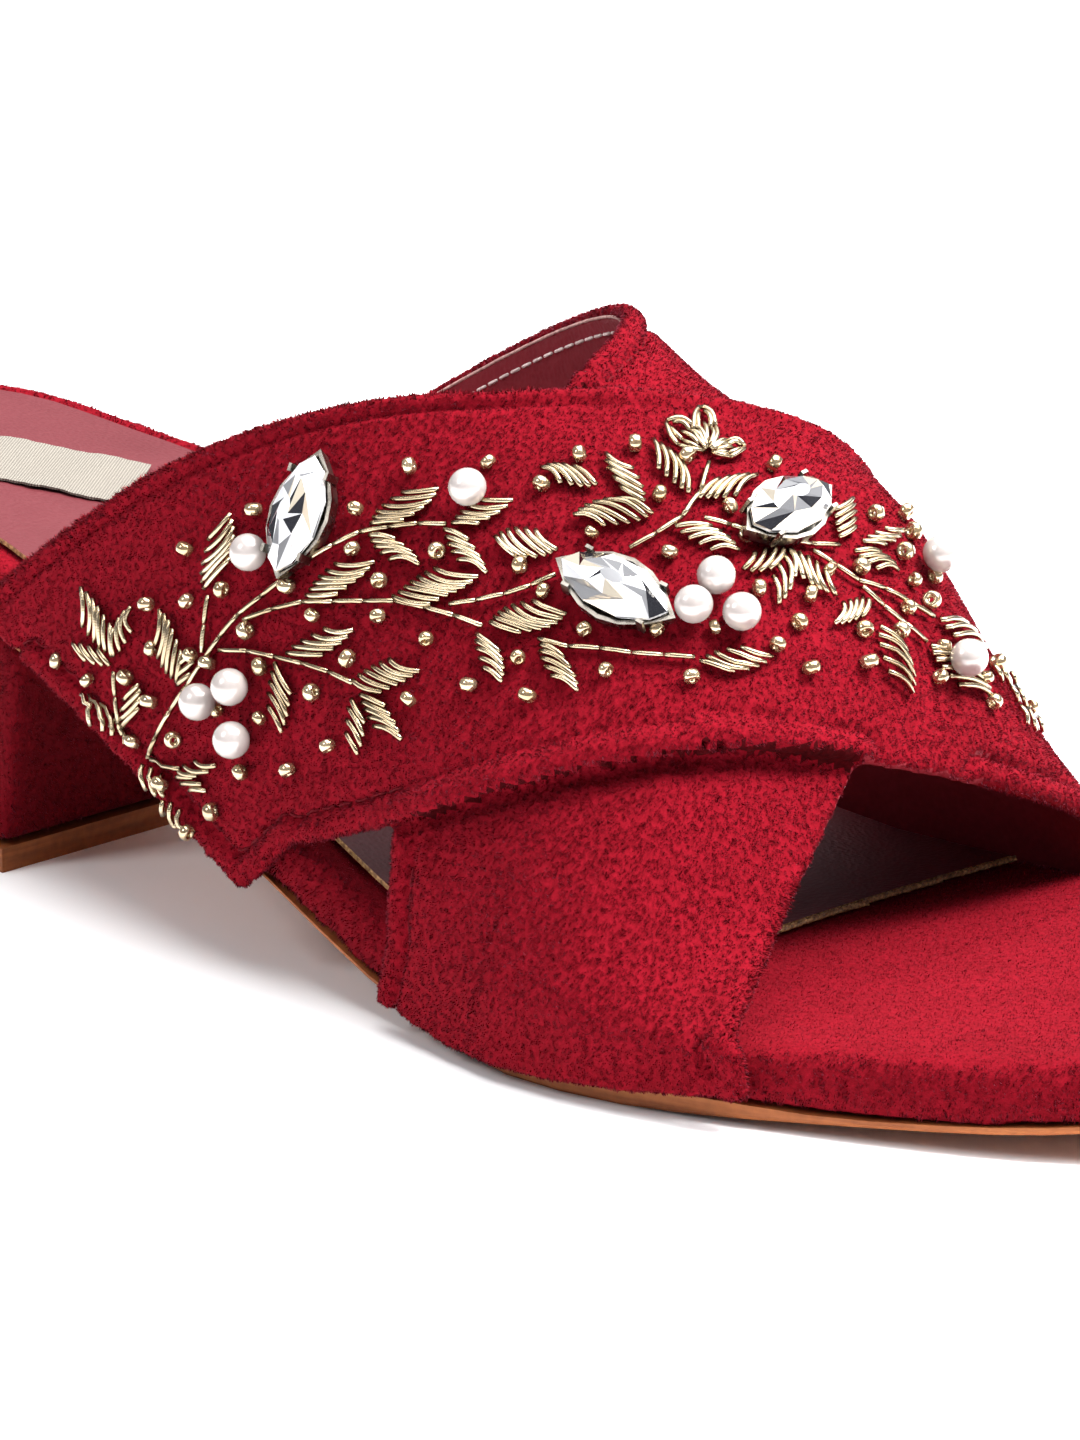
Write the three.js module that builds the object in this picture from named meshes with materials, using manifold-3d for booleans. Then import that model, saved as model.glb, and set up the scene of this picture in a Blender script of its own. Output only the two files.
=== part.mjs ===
// Right shoe of a pair of women's cross-strap mules: two velvet straps, a velvet-wrapped footbed with a
// leather sock, a tan outsole and a velvet-covered block heel, with stones and pearls on the upper strap.
// Millimetres, +Z up, +X towards the toe, -Y towards the outer side of the foot. Stations are measured
// along X from the back of the heel, and heights above the bed square to the sole's side profile.
import * as THREE from 'three';
import Module from 'manifold-3d';

const wasm = await Module();
wasm.setup();

// Driving dimensions
const LENGTH = 236;
const SEAT_GAP = 0.3;
const OUTSOLE_THICK = 2.3;
const OUTSOLE_EDGE_ROUND = 0.5;
const WAIST = { thick: 0.8, end: 122, forefoot: 168, bevel: 1.2, centre: 92, spread: 28 };
const TOE = { thick: 0.9, start: 172, end: 194 };
const FOOTBED_TOP = 7.9;
const FOOTBED_ROUND = 2.8;
const SOCK_THICK = 0.6;
const SOCK_MARGIN = 4.2;
const SOCK_FRONT = 156;
const SOCK_FRONT_SPRING = 2.5;
const CORD_DIAMETER = 0.9;
const LABEL = { station: 32.3, across: -3.9, length: 31, width: 14, thick: 0.4, turn: 33 };
const HEEL = { breastTop: 59, breastFoot: 56, backRake: 5, waist: 0.98, foot: 1, topPiece: 3 };
const STRAP_WALL = 2.1;
const STRAP_CLEAR = 0.55;
const STRAP_EDGE_ROUND = 0.55;
const STRAP_FOOT = 8.4;
const PEARL_DIAMETER = 4.3;
const STONE = { length: 13.4, width: 6.8, crown: 2.3, pavilion: 1.2, table: 0.5, girdle: 0.5 };
const SETTING = { wall: 0.4, floor: 0.5, rim: 1.3, claw: 0.9, clawRise: 1 };

// Steps that the surfaces are divided into
const STEPS = { along: 44, heel: 18, strap: 40, label: 6, stoneSide: 6, pearlAround: 12, pearlUp: 8 };

// Plan of the outsole: half-widths on the outer (lateral) and inner (medial) side of the long axis.
const PLAN = [
  { station: 0, lateral: 24, medial: 21 },
  { station: 20, lateral: 24.3, medial: 21 },
  { station: 40, lateral: 25, medial: 24.4 },
  { station: 60, lateral: 28, medial: 26 },
  { station: 85, lateral: 31, medial: 27 },
  { station: 110, lateral: 34.7, medial: 31 },
  { station: 135, lateral: 38.7, medial: 37.5 },
  { station: 155, lateral: 42, medial: 41 },
  { station: 175, lateral: 39.1, medial: 41.5 },
  { station: 195, lateral: 32.5, medial: 38.5 },
  { station: 210, lateral: 26, medial: 33.5 },
  { station: LENGTH, lateral: 13, medial: 24 },
];
const HEEL_ROUND = 20;
const TOE_START = 205;
const TOE_BLUNT = 2.5;

// Side profile: how high the underside of the outsole stands over the floor.
const PROFILE = [
  { station: 0, rise: 38.8 },
  { station: 30, rise: 34.3 },
  { station: 58, rise: 28.5 },
  { station: 85, rise: 19.6 },
  { station: 110, rise: 10.1 },
  { station: 130, rise: 3.1 },
  { station: 148, rise: 0 },
  { station: 165, rise: 0 },
  { station: 190, rise: 1.5 },
  { station: 215, rise: 3.4 },
  { station: LENGTH, rise: 7 },
];

// The last over the foot: height of its crest above the strap's straight foot, the power that squares up its
// sides, the power that fills its crown, and how far the crest lies towards the inner side.
const LAST = [
  { station: 45, crest: 60.2, side: 0.76, crown: 0.96, inward: 9.9 },
  { station: 70, crest: 52.3, side: 0.8, crown: 1.02, inward: 8.3 },
  { station: 95, crest: 45.7, side: 0.84, crown: 1.08, inward: 6.8 },
  { station: 120, crest: 43.6, side: 0.87, crown: 1.14, inward: 5.2 },
  { station: 145, crest: 32.8, side: 0.91, crown: 1.19, inward: 3.7 },
  { station: 170, crest: 11, side: 0.95, crown: 1.25, inward: 2.2 },
  { station: 186, crest: 6.5, side: 0.97, crown: 1.29, inward: 1.2 },
];
const LAST_LEAN = 0.58;

// The shoulder on the inner side of the crest: how far it swells and which way, the degrees around the arch
// between which it lies, and the stations over which it grows and dies away.
const SHOULDER = {
  swell: 2.8, aside: 0.6, up: 0.8,
  from: 86, to: 138,
  start: 106, full: 126, fade: 128, end: 146,
};

// Stations of each strap's back and front edges where its arch starts, near (outer side) and far (inner
// side), the bow and the skew of those edges over the foot, and how far the strap lies above the other one
// where they cross. Each foot stops at a height above the sole's underside, at its back and its front edge,
// and runs forward or back along the sole on its way down.
const EMBROIDERED = {
  back: { near: 57, far: 124, bow: 16.75, skew: -4.3 },
  front: { near: 111, far: 169, bow: 19, skew: 0.8 },
  lift: 1.4,
  nearFoot: { backStop: 2.4, frontStop: -1.5, run: -5 },
  farFoot: { backStop: 0.6, frontStop: 2.9, run: 2 },
};
const PLAIN = {
  back: { near: 130, far: 51, bow: 3.5, skew: -3.2 },
  front: { near: 183.5, far: 105, bow: 8, skew: 4.2 },
  lift: 0,
  nearFoot: { backStop: 0.6, frontStop: 2.9, run: 0 },
  farFoot: { backStop: 2.4, frontStop: -1.5, run: -5 },
};
const LIFT_START = 0.12;
const LIFT_FULL = 0.55;

// Stones and pearls on the embroidered strap: degrees around the arch from the outer side, and the place
// between the strap's back edge (0) and its front edge (1). A stone is turned from the strap's own run.
const STONES = [
  { around: 35.8, across: 0.243, turn: 62 },
  { around: 58.5, across: 0.611, turn: -37 },
  { around: 86.4, across: 0.399, turn: 33 },
];
const PEARLS = [
  { around: 53.7, across: 0.298 },
  { around: 28, across: 0.289 },
  { around: 14, across: 0.56 },
  { around: 8.9, across: 0.563 },
  { around: 8.7, across: 0.685 },
  { around: 70.4, across: 0.609 },
  { around: 65.5, across: 0.68 },
  { around: 70.5, across: 0.705 },
  { around: 106.7, across: 0.445 },
  { around: 103.1, across: 0.695 },
];

// A smooth curve through one column of a table with a row for each station.
function column(table, name) {
  const stations = table.map((row) => row.station);
  const values = table.map((row) => row[name]);
  const curve = new THREE.CubicInterpolant(stations, values, 1, [0]);
  return (station) => curve.evaluate(station)[0];
}

const lateralWidth = column(PLAN, 'lateral');
const medialWidth = column(PLAN, 'medial');
const profileRise = column(PROFILE, 'rise');
const crestHeight = column(LAST, 'crest');
const sidePower = column(LAST, 'side');
const crownPower = column(LAST, 'crown');
const crestInward = column(LAST, 'inward');

const lerp = THREE.MathUtils.lerp;
const smoothstep = THREE.MathUtils.smoothstep;

// The underside of the sole never dips below the floor that the ball of the foot rests on.
function rise(station) {
  return Math.max(0, profileRise(station));
}

// A point at plan place (x, y), h above the underside of the sole.
function onBed(x, y, h) {
  const slope = (rise(x + 0.5) - rise(x - 0.5));
  const tilt = Math.hypot(1, slope);
  return new THREE.Vector3(x - h * slope / tilt, y, rise(x) + h / tilt);
}

// How far the plan has closed in: half an ellipse at the heel, a blunter curve at the toe.
function endRound(station) {
  const toHeel = Math.max(0, 1 - station / HEEL_ROUND);
  const toToe = Math.max(0, (station - TOE_START) / (LENGTH - TOE_START));
  return Math.sqrt(1 - toHeel ** 2) * (1 - toToe ** TOE_BLUNT) ** (1 / TOE_BLUNT);
}

// The two edges of the plan at a station, drawn in by an inset all round.
function planEdges(station, inset) {
  const middle = (medialWidth(station) - lateralWidth(station)) / 2;
  const half = ((medialWidth(station) + lateralWidth(station)) / 2 - inset) * endRound(station);
  const x = inset + (LENGTH - 2 * inset) * station / LENGTH;
  return { x, lateral: middle - half, medial: middle + half };
}

// Stations from one end to the other, closer together towards the ends that are round.
function spread(start, end, steps, roundEnd = true) {
  const sweep = roundEnd ? Math.PI : Math.PI / 2;
  const whole = 1 - Math.cos(sweep);
  return Array.from({ length: steps + 1 }, (unused, i) => {
    return start + (end - start) * (1 - Math.cos(sweep * i / steps)) / whole;
  });
}

// A closed solid through rings of matching points. Each ring goes out along one side and comes back along
// the other, and the two sides are laced together over the first ring and over the last.
function loft(rings) {
  const count = rings[0].length;
  const faces = [];
  for (let ring = 0; ring + 1 < rings.length; ring++) {
    for (let i = 0; i < count; i++) {
      const here = ring * count + i;
      const next = ring * count + (i + 1) % count;
      faces.push(here, here + count, next, next, here + count, next + count);
    }
  }
  const last = (rings.length - 1) * count;
  for (let i = 0; i < count / 2 - 1; i++) {
    const across = count - 1 - i;
    faces.push(i, i + 1, across - 1, i, across - 1, across);
    faces.push(last + i, last + across - 1, last + i + 1, last + i, last + across, last + across - 1);
  }
  const geometry = new THREE.BufferGeometry().setFromPoints(rings.flat());
  geometry.setIndex(faces);
  return geometry;
}

// Boolean joins and cuts between closed meshes whose vertices are shared.
function toSolid(geometry) {
  const vertProperties = new Float32Array(geometry.getAttribute('position').array);
  const triVerts = new Uint32Array(geometry.getIndex().array);
  return new wasm.Manifold(new wasm.Mesh({ numProp: 3, vertProperties, triVerts }));
}

function toGeometry(solid) {
  const mesh = solid.getMesh();
  const geometry = new THREE.BufferGeometry();
  geometry.setAttribute('position', new THREE.BufferAttribute(mesh.vertProperties, 3));
  geometry.setIndex(new THREE.BufferAttribute(mesh.triVerts, 1));
  return geometry;
}

// A layer of the sole: each corner is an inset from the plan and a height above the sole's underside,
// listed from the bottom of the side wall to its top.
function soleLayer(stations, cornersAt) {
  return loft(stations.map((station) => {
    const corners = cornersAt(station);
    const lateral = corners.map(({ inset, height }) => {
      const edges = planEdges(station, inset);
      return onBed(edges.x, edges.lateral, height);
    });
    const medial = corners.map(({ inset, height }) => {
      const edges = planEdges(station, inset);
      return onBed(edges.x, edges.medial, height);
    });
    return [...lateral, ...medial.reverse()];
  }));
}

const END_FLAT = 0.12;
const wholeLength = spread(END_FLAT, LENGTH - END_FLAT, STEPS.along);

// The outsole is thin under the heel and the waist, thicker under the ball of the foot and thin at the toe.
function outsoleThick(station) {
  const ball = lerp(WAIST.thick, OUTSOLE_THICK, smoothstep(station, WAIST.end, WAIST.forefoot));
  return lerp(ball, TOE.thick, smoothstep(station, TOE.start, TOE.end));
}

function makeOutsole() {
  return soleLayer(wholeLength, (station) => {
    const waist = WAIST.bevel * Math.exp(-(((station - WAIST.centre) / WAIST.spread) ** 2));
    return [
      { inset: OUTSOLE_EDGE_ROUND + waist, height: 0 },
      { inset: 0, height: OUTSOLE_EDGE_ROUND },
      { inset: 0, height: outsoleThick(station) },
    ];
  });
}

// The velvet side of the footbed reaches down to the outsole, and its top edge is rounded.
function makeFootbed() {
  return soleLayer(wholeLength, (station) => {
    const corners = [{ inset: 0, height: outsoleThick(station) + SEAT_GAP }];
    for (const degrees of [0, 30, 60, 90]) {
      const angle = THREE.MathUtils.degToRad(degrees);
      const inset = FOOTBED_ROUND * (1 - Math.cos(angle));
      const height = FOOTBED_TOP - FOOTBED_ROUND * (1 - Math.sin(angle));
      corners.push({ inset, height });
    }
    return corners;
  });
}

// The front edge of the sock springs forward towards both sides of the foot.
function sockFront(y) {
  return SOCK_FRONT + SOCK_FRONT_SPRING * (y / lateralWidth(SOCK_FRONT)) ** 2;
}

const SOCK_BASE = FOOTBED_TOP + SEAT_GAP;
const SOCK_TOP = SOCK_BASE + SOCK_THICK;

function makeSock() {
  const beyond = SOCK_FRONT + 4 * SOCK_FRONT_SPRING;
  const sheet = soleLayer(spread(END_FLAT, beyond, STEPS.along / 2, false), () => [
    { inset: SOCK_MARGIN, height: SOCK_BASE },
    { inset: SOCK_MARGIN, height: SOCK_TOP },
  ]);
  const outline = new THREE.Shape();
  const reach = LENGTH / 4;
  outline.moveTo(LENGTH, reach);
  for (let i = 0; i <= STEPS.heel; i++) {
    const y = reach - 2 * reach * i / STEPS.heel;
    outline.lineTo(sockFront(y), y);
  }
  outline.lineTo(LENGTH, -reach);
  const block = new THREE.ExtrudeGeometry(outline, { depth: reach, bevelEnabled: false });
  return toGeometry(toSolid(sheet).subtract(toSolid(sharedVertices(block))));
}

// An indexed copy of a geometry that keeps only positions, with equal corners merged.
function sharedVertices(geometry) {
  const source = geometry.getAttribute('position');
  const order = geometry.getIndex();
  const total = order ? order.count : source.count;
  const found = new Map();
  const points = [];
  const faces = [];
  for (let i = 0; i < total; i++) {
    const point = new THREE.Vector3().fromBufferAttribute(source, order ? order.getX(i) : i);
    const key = point.toArray().map((value) => Math.round(value * 1e4)).join();
    if (!found.has(key)) {
      found.set(key, points.length);
      points.push(point);
    }
    faces.push(found.get(key));
  }
  const corners = [];
  for (let i = 0; i < faces.length; i += 3) {
    const [a, b, c] = faces.slice(i, i + 3);
    if (a !== b && b !== c && c !== a) {
      corners.push(a, b, c);
    }
  }
  const result = new THREE.BufferGeometry().setFromPoints(points);
  result.setIndex(corners);
  return result;
}

// The braided cord lies on the footbed along the front edge of the sock.
function makeSockCord() {
  const radius = CORD_DIAMETER / 2;
  const edges = planEdges(SOCK_FRONT, SOCK_MARGIN);
  const route = Array.from({ length: STEPS.heel + 1 }, (unused, i) => {
    const y = lerp(edges.lateral, edges.medial, i / STEPS.heel);
    return onBed(sockFront(y) + radius + SEAT_GAP, y, FOOTBED_TOP + SEAT_GAP + radius);
  });
  const section = new THREE.Shape().absarc(0, 0, radius, 0, 2 * Math.PI, false);
  return sharedVertices(new THREE.ExtrudeGeometry(section, {
    steps: STEPS.heel,
    curveSegments: 4,
    extrudePath: new THREE.CatmullRomCurve3(route),
  }));
}

// A plain woven ribbon on the heel end of the sock, turned out of line with the foot.
function makeLabel() {
  const turn = THREE.MathUtils.degToRad(LABEL.turn);
  const rings = [];
  for (let i = 0; i <= STEPS.label; i++) {
    const along = LABEL.length * (i / STEPS.label - 0.5);
    const corner = (side, height) => {
      const x = LABEL.station + along * Math.cos(turn) - side * Math.sin(turn);
      const y = LABEL.across + along * Math.sin(turn) + side * Math.cos(turn);
      return onBed(x, y, height);
    };
    const base = SOCK_TOP + SEAT_GAP;
    const top = base + LABEL.thick;
    const half = LABEL.width / 2;
    rings.push([corner(-half, base), corner(-half, top), corner(half, top), corner(half, base)]);
  }
  return loft(rings);
}

// The heel's wall at a station: its top follows the sole, and it draws in towards the top piece.
function heelRing(station, levels) {
  const share = station / HEEL.breastTop;
  const edges = planEdges(station, OUTSOLE_EDGE_ROUND);
  const middle = (edges.lateral + edges.medial) / 2;
  const half = (edges.medial - edges.lateral) / 2;
  const side = levels.map(({ drop, width, height }) => {
    const footX = lerp(HEEL.backRake, HEEL.breastFoot, share);
    const x = lerp(edges.x, footX, drop);
    const z = height ?? lerp(rise(station) - SEAT_GAP, HEEL.topPiece + SEAT_GAP, drop);
    return { x, half: half * width, z };
  });
  const lateral = side.map(({ x, half: reach, z }) => new THREE.Vector3(x, middle - reach, z));
  const medial = side.map(({ x, half: reach, z }) => new THREE.Vector3(x, middle + reach, z));
  return [...lateral.reverse(), ...medial];
}

const heelStations = spread(END_FLAT, HEEL.breastTop, STEPS.heel, false);

function makeHeelBlock() {
  return loft(heelStations.map((station) => heelRing(station, [
    { drop: 0, width: 1 },
    { drop: 0.4, width: (1 + HEEL.waist) / 2 },
    { drop: 0.75, width: HEEL.waist },
    { drop: 1, width: HEEL.foot },
  ])));
}

function makeHeelTopPiece() {
  return loft(heelStations.map((station) => heelRing(station, [
    { drop: 1, width: HEEL.foot, height: HEEL.topPiece },
    { drop: 1, width: HEEL.foot, height: 0 },
  ])));
}

// Where a strap's edge lies along the foot at an angle around the arch, from the outer side to the inner.
function edgeStation(edge, angle) {
  const straight = lerp(edge.near, edge.far, angle / Math.PI);
  return straight + edge.bow * Math.sin(angle) + edge.skew * Math.sin(2 * angle);
}

const PROBE = 0.02;

// How far the outside of a strap's straight foot stands from the long axis, on the outer and inner side.
const FOOT_STAND = STRAP_CLEAR + STRAP_WALL;

// How far the shoulder stands out at a station and an angle around the arch.
function shoulderSwell(station, angle) {
  const turn = THREE.MathUtils.radToDeg(angle);
  const share = THREE.MathUtils.clamp((turn - SHOULDER.from) / (SHOULDER.to - SHOULDER.from), 0, 1);
  const growth = smoothstep(station, SHOULDER.start, SHOULDER.full);
  const decay = 1 - smoothstep(station, SHOULDER.fade, SHOULDER.end);
  return SHOULDER.swell * growth * decay * Math.sin(Math.PI * share) ** 2;
}

// A point on the outside of the last, on a strap's own coordinates.
function lastPoint(strap, across, angle) {
  const station = lerp(edgeStation(strap.back, angle), edgeStation(strap.front, angle), across);
  const height = crestHeight(station) * Math.max(0, Math.sin(angle)) ** crownPower(station);
  const lateral = -lateralWidth(station) - FOOT_STAND;
  const medial = medialWidth(station) + FOOT_STAND;
  const cosine = Math.cos(angle);
  const reach = Math.sign(cosine) * Math.abs(cosine) ** sidePower(station);
  const y = lerp(medial, lateral, (1 + reach) / 2) + crestInward(station) * Math.sin(angle) ** 2;
  const swell = shoulderSwell(station, angle);
  const point = onBed(station, y + SHOULDER.aside * swell, STRAP_FOOT);
  return point.add(new THREE.Vector3(LAST_LEAN * height, 0, height + SHOULDER.up * swell));
}

// The way out of the last at a point, from small steps along and around the strap.
function lastNormal(strap, across, angle) {
  const low = Math.max(angle - PROBE, 0);
  const high = Math.min(angle + PROBE, Math.PI);
  const around = lastPoint(strap, across, high).sub(lastPoint(strap, across, low));
  const along = lastPoint(strap, across + PROBE, angle).sub(lastPoint(strap, across - PROBE, angle));
  return along.cross(around).normalize();
}

// How far the embroidered strap has climbed over the plain one at an angle around the arch.
function liftAt(strap, angle) {
  const fromFoot = Math.min(angle, Math.PI - angle);
  return strap.lift * smoothstep(fromFoot, LIFT_START, LIFT_FULL);
}

// A point that lies a depth under a strap's outer face.
function strapPoint(strap, across, angle, depth) {
  const normal = lastNormal(strap, across, angle);
  return lastPoint(strap, across, angle).addScaledVector(normal, liftAt(strap, angle) - depth);
}

const ACROSS = [0, 0.02, 0.1, 0.25, 0.4, 0.6, 0.75, 0.9, 0.98, 1];

// One section through a strap: its outer face from the front edge to the back, then its inner face.
function strapRing(strap, place) {
  const rounding = (across) => (across === 0 || across === 1 ? STRAP_EDGE_ROUND : 0);
  const outer = ACROSS.map((across) => place(across, rounding(across)));
  const inner = ACROSS.map((across) => place(across, STRAP_WALL - rounding(across)));
  return [...outer.reverse(), ...inner];
}

// The straight end of a strap, carried down the side of the footbed to where it stops.
function strapFoot(strap, angle, foot) {
  return strapRing(strap, (across, depth) => {
    const start = lerp(edgeStation(strap.back, angle), edgeStation(strap.front, angle), across);
    const station = start + foot.run;
    const stand = FOOT_STAND - depth;
    const y = angle === 0 ? -lateralWidth(station) - stand : medialWidth(station) + stand;
    return onBed(station, y, lerp(foot.backStop, foot.frontStop, across));
  });
}

function makeStrap(strap) {
  const rings = [strapFoot(strap, 0, strap.nearFoot)];
  for (let i = 0; i <= STEPS.strap; i++) {
    const angle = Math.PI * i / STEPS.strap;
    rings.push(strapRing(strap, (across, depth) => strapPoint(strap, across, angle, depth)));
  }
  rings.push(strapFoot(strap, Math.PI, strap.farFoot));
  return loft(rings);
}

function makeUpper() {
  return toGeometry(toSolid(makeStrap(EMBROIDERED)).add(toSolid(makeStrap(PLAIN))));
}

// A frame standing on the embroidered strap: Z out of the strap, X along its run turned by an angle.
function strapSeat({ around, across, turn = 0 }, height) {
  const angle = THREE.MathUtils.degToRad(around);
  const out = lastNormal(EMBROIDERED, across, angle);
  const ahead = lastPoint(EMBROIDERED, across, angle + PROBE);
  const behind = lastPoint(EMBROIDERED, across, angle - PROBE);
  const run = ahead.sub(behind).normalize().applyAxisAngle(out, THREE.MathUtils.degToRad(turn));
  const side = new THREE.Vector3().crossVectors(out, run);
  const seat = new THREE.Group();
  seat.matrix.makeBasis(run, side, out);
  seat.matrix.setPosition(strapPoint(EMBROIDERED, across, angle, -height));
  seat.matrix.decompose(seat.position, seat.quaternion, seat.scale);
  return seat;
}

// The pointed oval of a navette stone, grown by a margin: two equal arcs that meet at the ends.
function navette(margin, height) {
  const half = STONE.length / 2 + margin * 1.4;
  const bulge = STONE.width / 2 + margin;
  const points = [];
  for (const side of [-1, 1]) {
    for (let i = 0; i < STEPS.stoneSide; i++) {
      const share = i / STEPS.stoneSide;
      const x = side * half * (2 * share - 1);
      const y = side * bulge * (1 - (2 * share - 1) ** 2);
      points.push(new THREE.Vector3(x, y, height));
    }
  }
  return points;
}

function scaledRing(ring, scale, height) {
  return ring.map((point) => new THREE.Vector3(point.x * scale, point.y * scale, height));
}

// A faceted navette: pavilion, girdle, crown and a flat table.
function makeStone() {
  const girdle = navette(0, 0);
  const crown = STONE.girdle + STONE.crown;
  return loft([
    scaledRing(girdle, 0.6, -STONE.pavilion),
    scaledRing(girdle, 1, 0),
    scaledRing(girdle, 1, STONE.girdle),
    scaledRing(girdle, (1 + STONE.table) / 2, STONE.girdle + STONE.crown * 0.62),
    scaledRing(girdle, STONE.table, crown),
  ]);
}

// The metal cup under a stone: a floor, a rim round the pavilion and four claws beside the girdle.
function makeSetting() {
  const outside = navette(SEAT_GAP + SETTING.wall, 0);
  const inside = navette(SEAT_GAP, 0);
  const rim = SETTING.floor + SETTING.rim;
  const cup = toSolid(loft([scaledRing(outside, 0.94, 0), scaledRing(outside, 1, rim)]));
  const hollow = toSolid(loft([scaledRing(inside, 0.92, SETTING.floor), scaledRing(inside, 1.02, rim + 1)]));
  let setting = cup.subtract(hollow);
  for (const end of [-1, 1]) {
    for (const side of [-1, 1]) {
      const reach = inside.find((point) => point.x * end > STONE.length / 5 && point.y * side > 0);
      const claw = new THREE.BoxGeometry(SETTING.claw, SETTING.wall, SETTING.clawRise + SETTING.rim);
      const height = SETTING.floor + (SETTING.clawRise + SETTING.rim) / 2;
      claw.translate(reach.x, reach.y + side * (SEAT_GAP + SETTING.wall / 2), height);
      setting = setting.add(toSolid(sharedVertices(claw)));
    }
  }
  return toGeometry(setting);
}

function velvet() {
  return new THREE.MeshStandardMaterial({ color: 0xa51428, roughness: 0.95, metalness: 0 });
}

function plainMaterial(color, roughness, metalness = 0) {
  return new THREE.MeshStandardMaterial({ color, roughness, metalness });
}

const shoe = new THREE.Group();

function addPiece(name, geometry, material, parent = shoe) {
  const mesh = new THREE.Mesh(geometry, material);
  mesh.name = name;
  parent.add(mesh);
}

addPiece('outsole', makeOutsole(), plainMaterial(0x965f32, 0.6));
addPiece('footbed', makeFootbed(), velvet());
addPiece('sock', makeSock(), plainMaterial(0x8f4b58, 0.5));
addPiece('sock_cord', makeSockCord(), plainMaterial(0xaa7d3c, 0.45, 0.6));
addPiece('label', makeLabel(), plainMaterial(0xebdcc3, 0.85));
addPiece('heel_block', makeHeelBlock(), velvet());
addPiece('heel_top_piece', makeHeelTopPiece(), plainMaterial(0x8a5a30, 0.6));
addPiece('upper', makeUpper(), velvet());

const stoneLift = SEAT_GAP + SETTING.floor + SEAT_GAP + STONE.pavilion;
STONES.forEach((place, i) => {
  const settingSeat = strapSeat(place, SEAT_GAP);
  addPiece(`setting_${i + 1}`, makeSetting(), plainMaterial(0xb4a98f, 0.3, 1), settingSeat);
  const stoneSeat = strapSeat(place, stoneLift);
  addPiece(`crystal_${i + 1}`, makeStone(), plainMaterial(0xe6edf0, 0.05), stoneSeat);
  shoe.add(settingSeat, stoneSeat);
});

PEARLS.forEach((place, i) => {
  const seat = strapSeat(place, SEAT_GAP + PEARL_DIAMETER / 2);
  const ball = new THREE.SphereGeometry(PEARL_DIAMETER / 2, STEPS.pearlAround, STEPS.pearlUp);
  const name = `pearl_${String(i + 1).padStart(2, '0')}`;
  addPiece(name, sharedVertices(ball), plainMaterial(0xf2ece4, 0.2), seat);
  shoe.add(seat);
});

// The origin is on the floor, under the middle of the shoe.
shoe.updateMatrixWorld(true);
const bounds = new THREE.Box3().setFromObject(shoe);
const centre = bounds.getCenter(new THREE.Vector3());
shoe.position.set(-centre.x, -centre.y, -bounds.min.z);

export default shoe;
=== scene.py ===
# %% [markdown]
# # An embellished velvet mule, dressed cell by cell
# The shoe's solids already stand in the scene, in metres: soles, heel, straps, stones and pearls. This
# lesson dresses them. Each step first says what the piece is on the real shoe, how it could be made in
# Blender, and why one way was taken. The first cell loads the solids and keeps their box, so that the
# dressed shoe can be measured against it at the end.

# %% Load the solids
import math

import bpy
import numpy as np
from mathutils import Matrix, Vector
from mathutils.bvhtree import BVHTree
from mathutils.kdtree import KDTree


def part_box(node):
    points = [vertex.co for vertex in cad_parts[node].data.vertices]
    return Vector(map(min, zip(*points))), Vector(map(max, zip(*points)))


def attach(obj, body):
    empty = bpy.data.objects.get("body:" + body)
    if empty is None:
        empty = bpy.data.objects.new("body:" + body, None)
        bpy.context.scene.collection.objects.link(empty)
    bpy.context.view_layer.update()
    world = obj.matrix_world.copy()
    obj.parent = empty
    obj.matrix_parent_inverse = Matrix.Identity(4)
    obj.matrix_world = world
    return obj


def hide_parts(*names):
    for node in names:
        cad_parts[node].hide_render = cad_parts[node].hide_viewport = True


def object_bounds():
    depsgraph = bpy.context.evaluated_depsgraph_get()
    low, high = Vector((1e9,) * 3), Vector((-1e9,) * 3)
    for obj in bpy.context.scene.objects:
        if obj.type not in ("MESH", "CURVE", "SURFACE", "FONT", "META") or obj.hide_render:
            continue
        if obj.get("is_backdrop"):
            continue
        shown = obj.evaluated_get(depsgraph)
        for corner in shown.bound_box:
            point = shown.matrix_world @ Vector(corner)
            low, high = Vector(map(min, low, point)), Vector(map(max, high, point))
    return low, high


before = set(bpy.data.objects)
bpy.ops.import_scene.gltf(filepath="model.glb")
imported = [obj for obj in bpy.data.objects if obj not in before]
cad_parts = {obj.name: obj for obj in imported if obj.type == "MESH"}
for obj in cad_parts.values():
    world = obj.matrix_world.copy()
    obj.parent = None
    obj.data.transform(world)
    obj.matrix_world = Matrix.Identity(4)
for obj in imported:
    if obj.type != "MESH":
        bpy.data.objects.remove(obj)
MM = 0.001
CAD_BOX = [list(corner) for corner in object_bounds()]
print("solids:", len(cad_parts), "box:", CAD_BOX)

# %% [markdown]
# ## The camera
# The picture was taken from the outer front of a right shoe, a little above it, with a long lens and close
# enough to crop heel and toe. A camera placed by its azimuth, its height angle and its distance from a
# point on the shoe is easier to read than a bare location. The lens follows from the focal length in image
# pixels.

# %% Camera
PHOTO_SIZE = (1080, 1440)
AZIMUTH = math.radians(42.716)
ELEVATION = math.radians(15.641)
DISTANCE = 699.65 * MM
AIM = Vector((36.08, -39.05, 40.0)) * MM
FOCAL_PIXELS = 6563.3
SENSOR = 36.0

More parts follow.
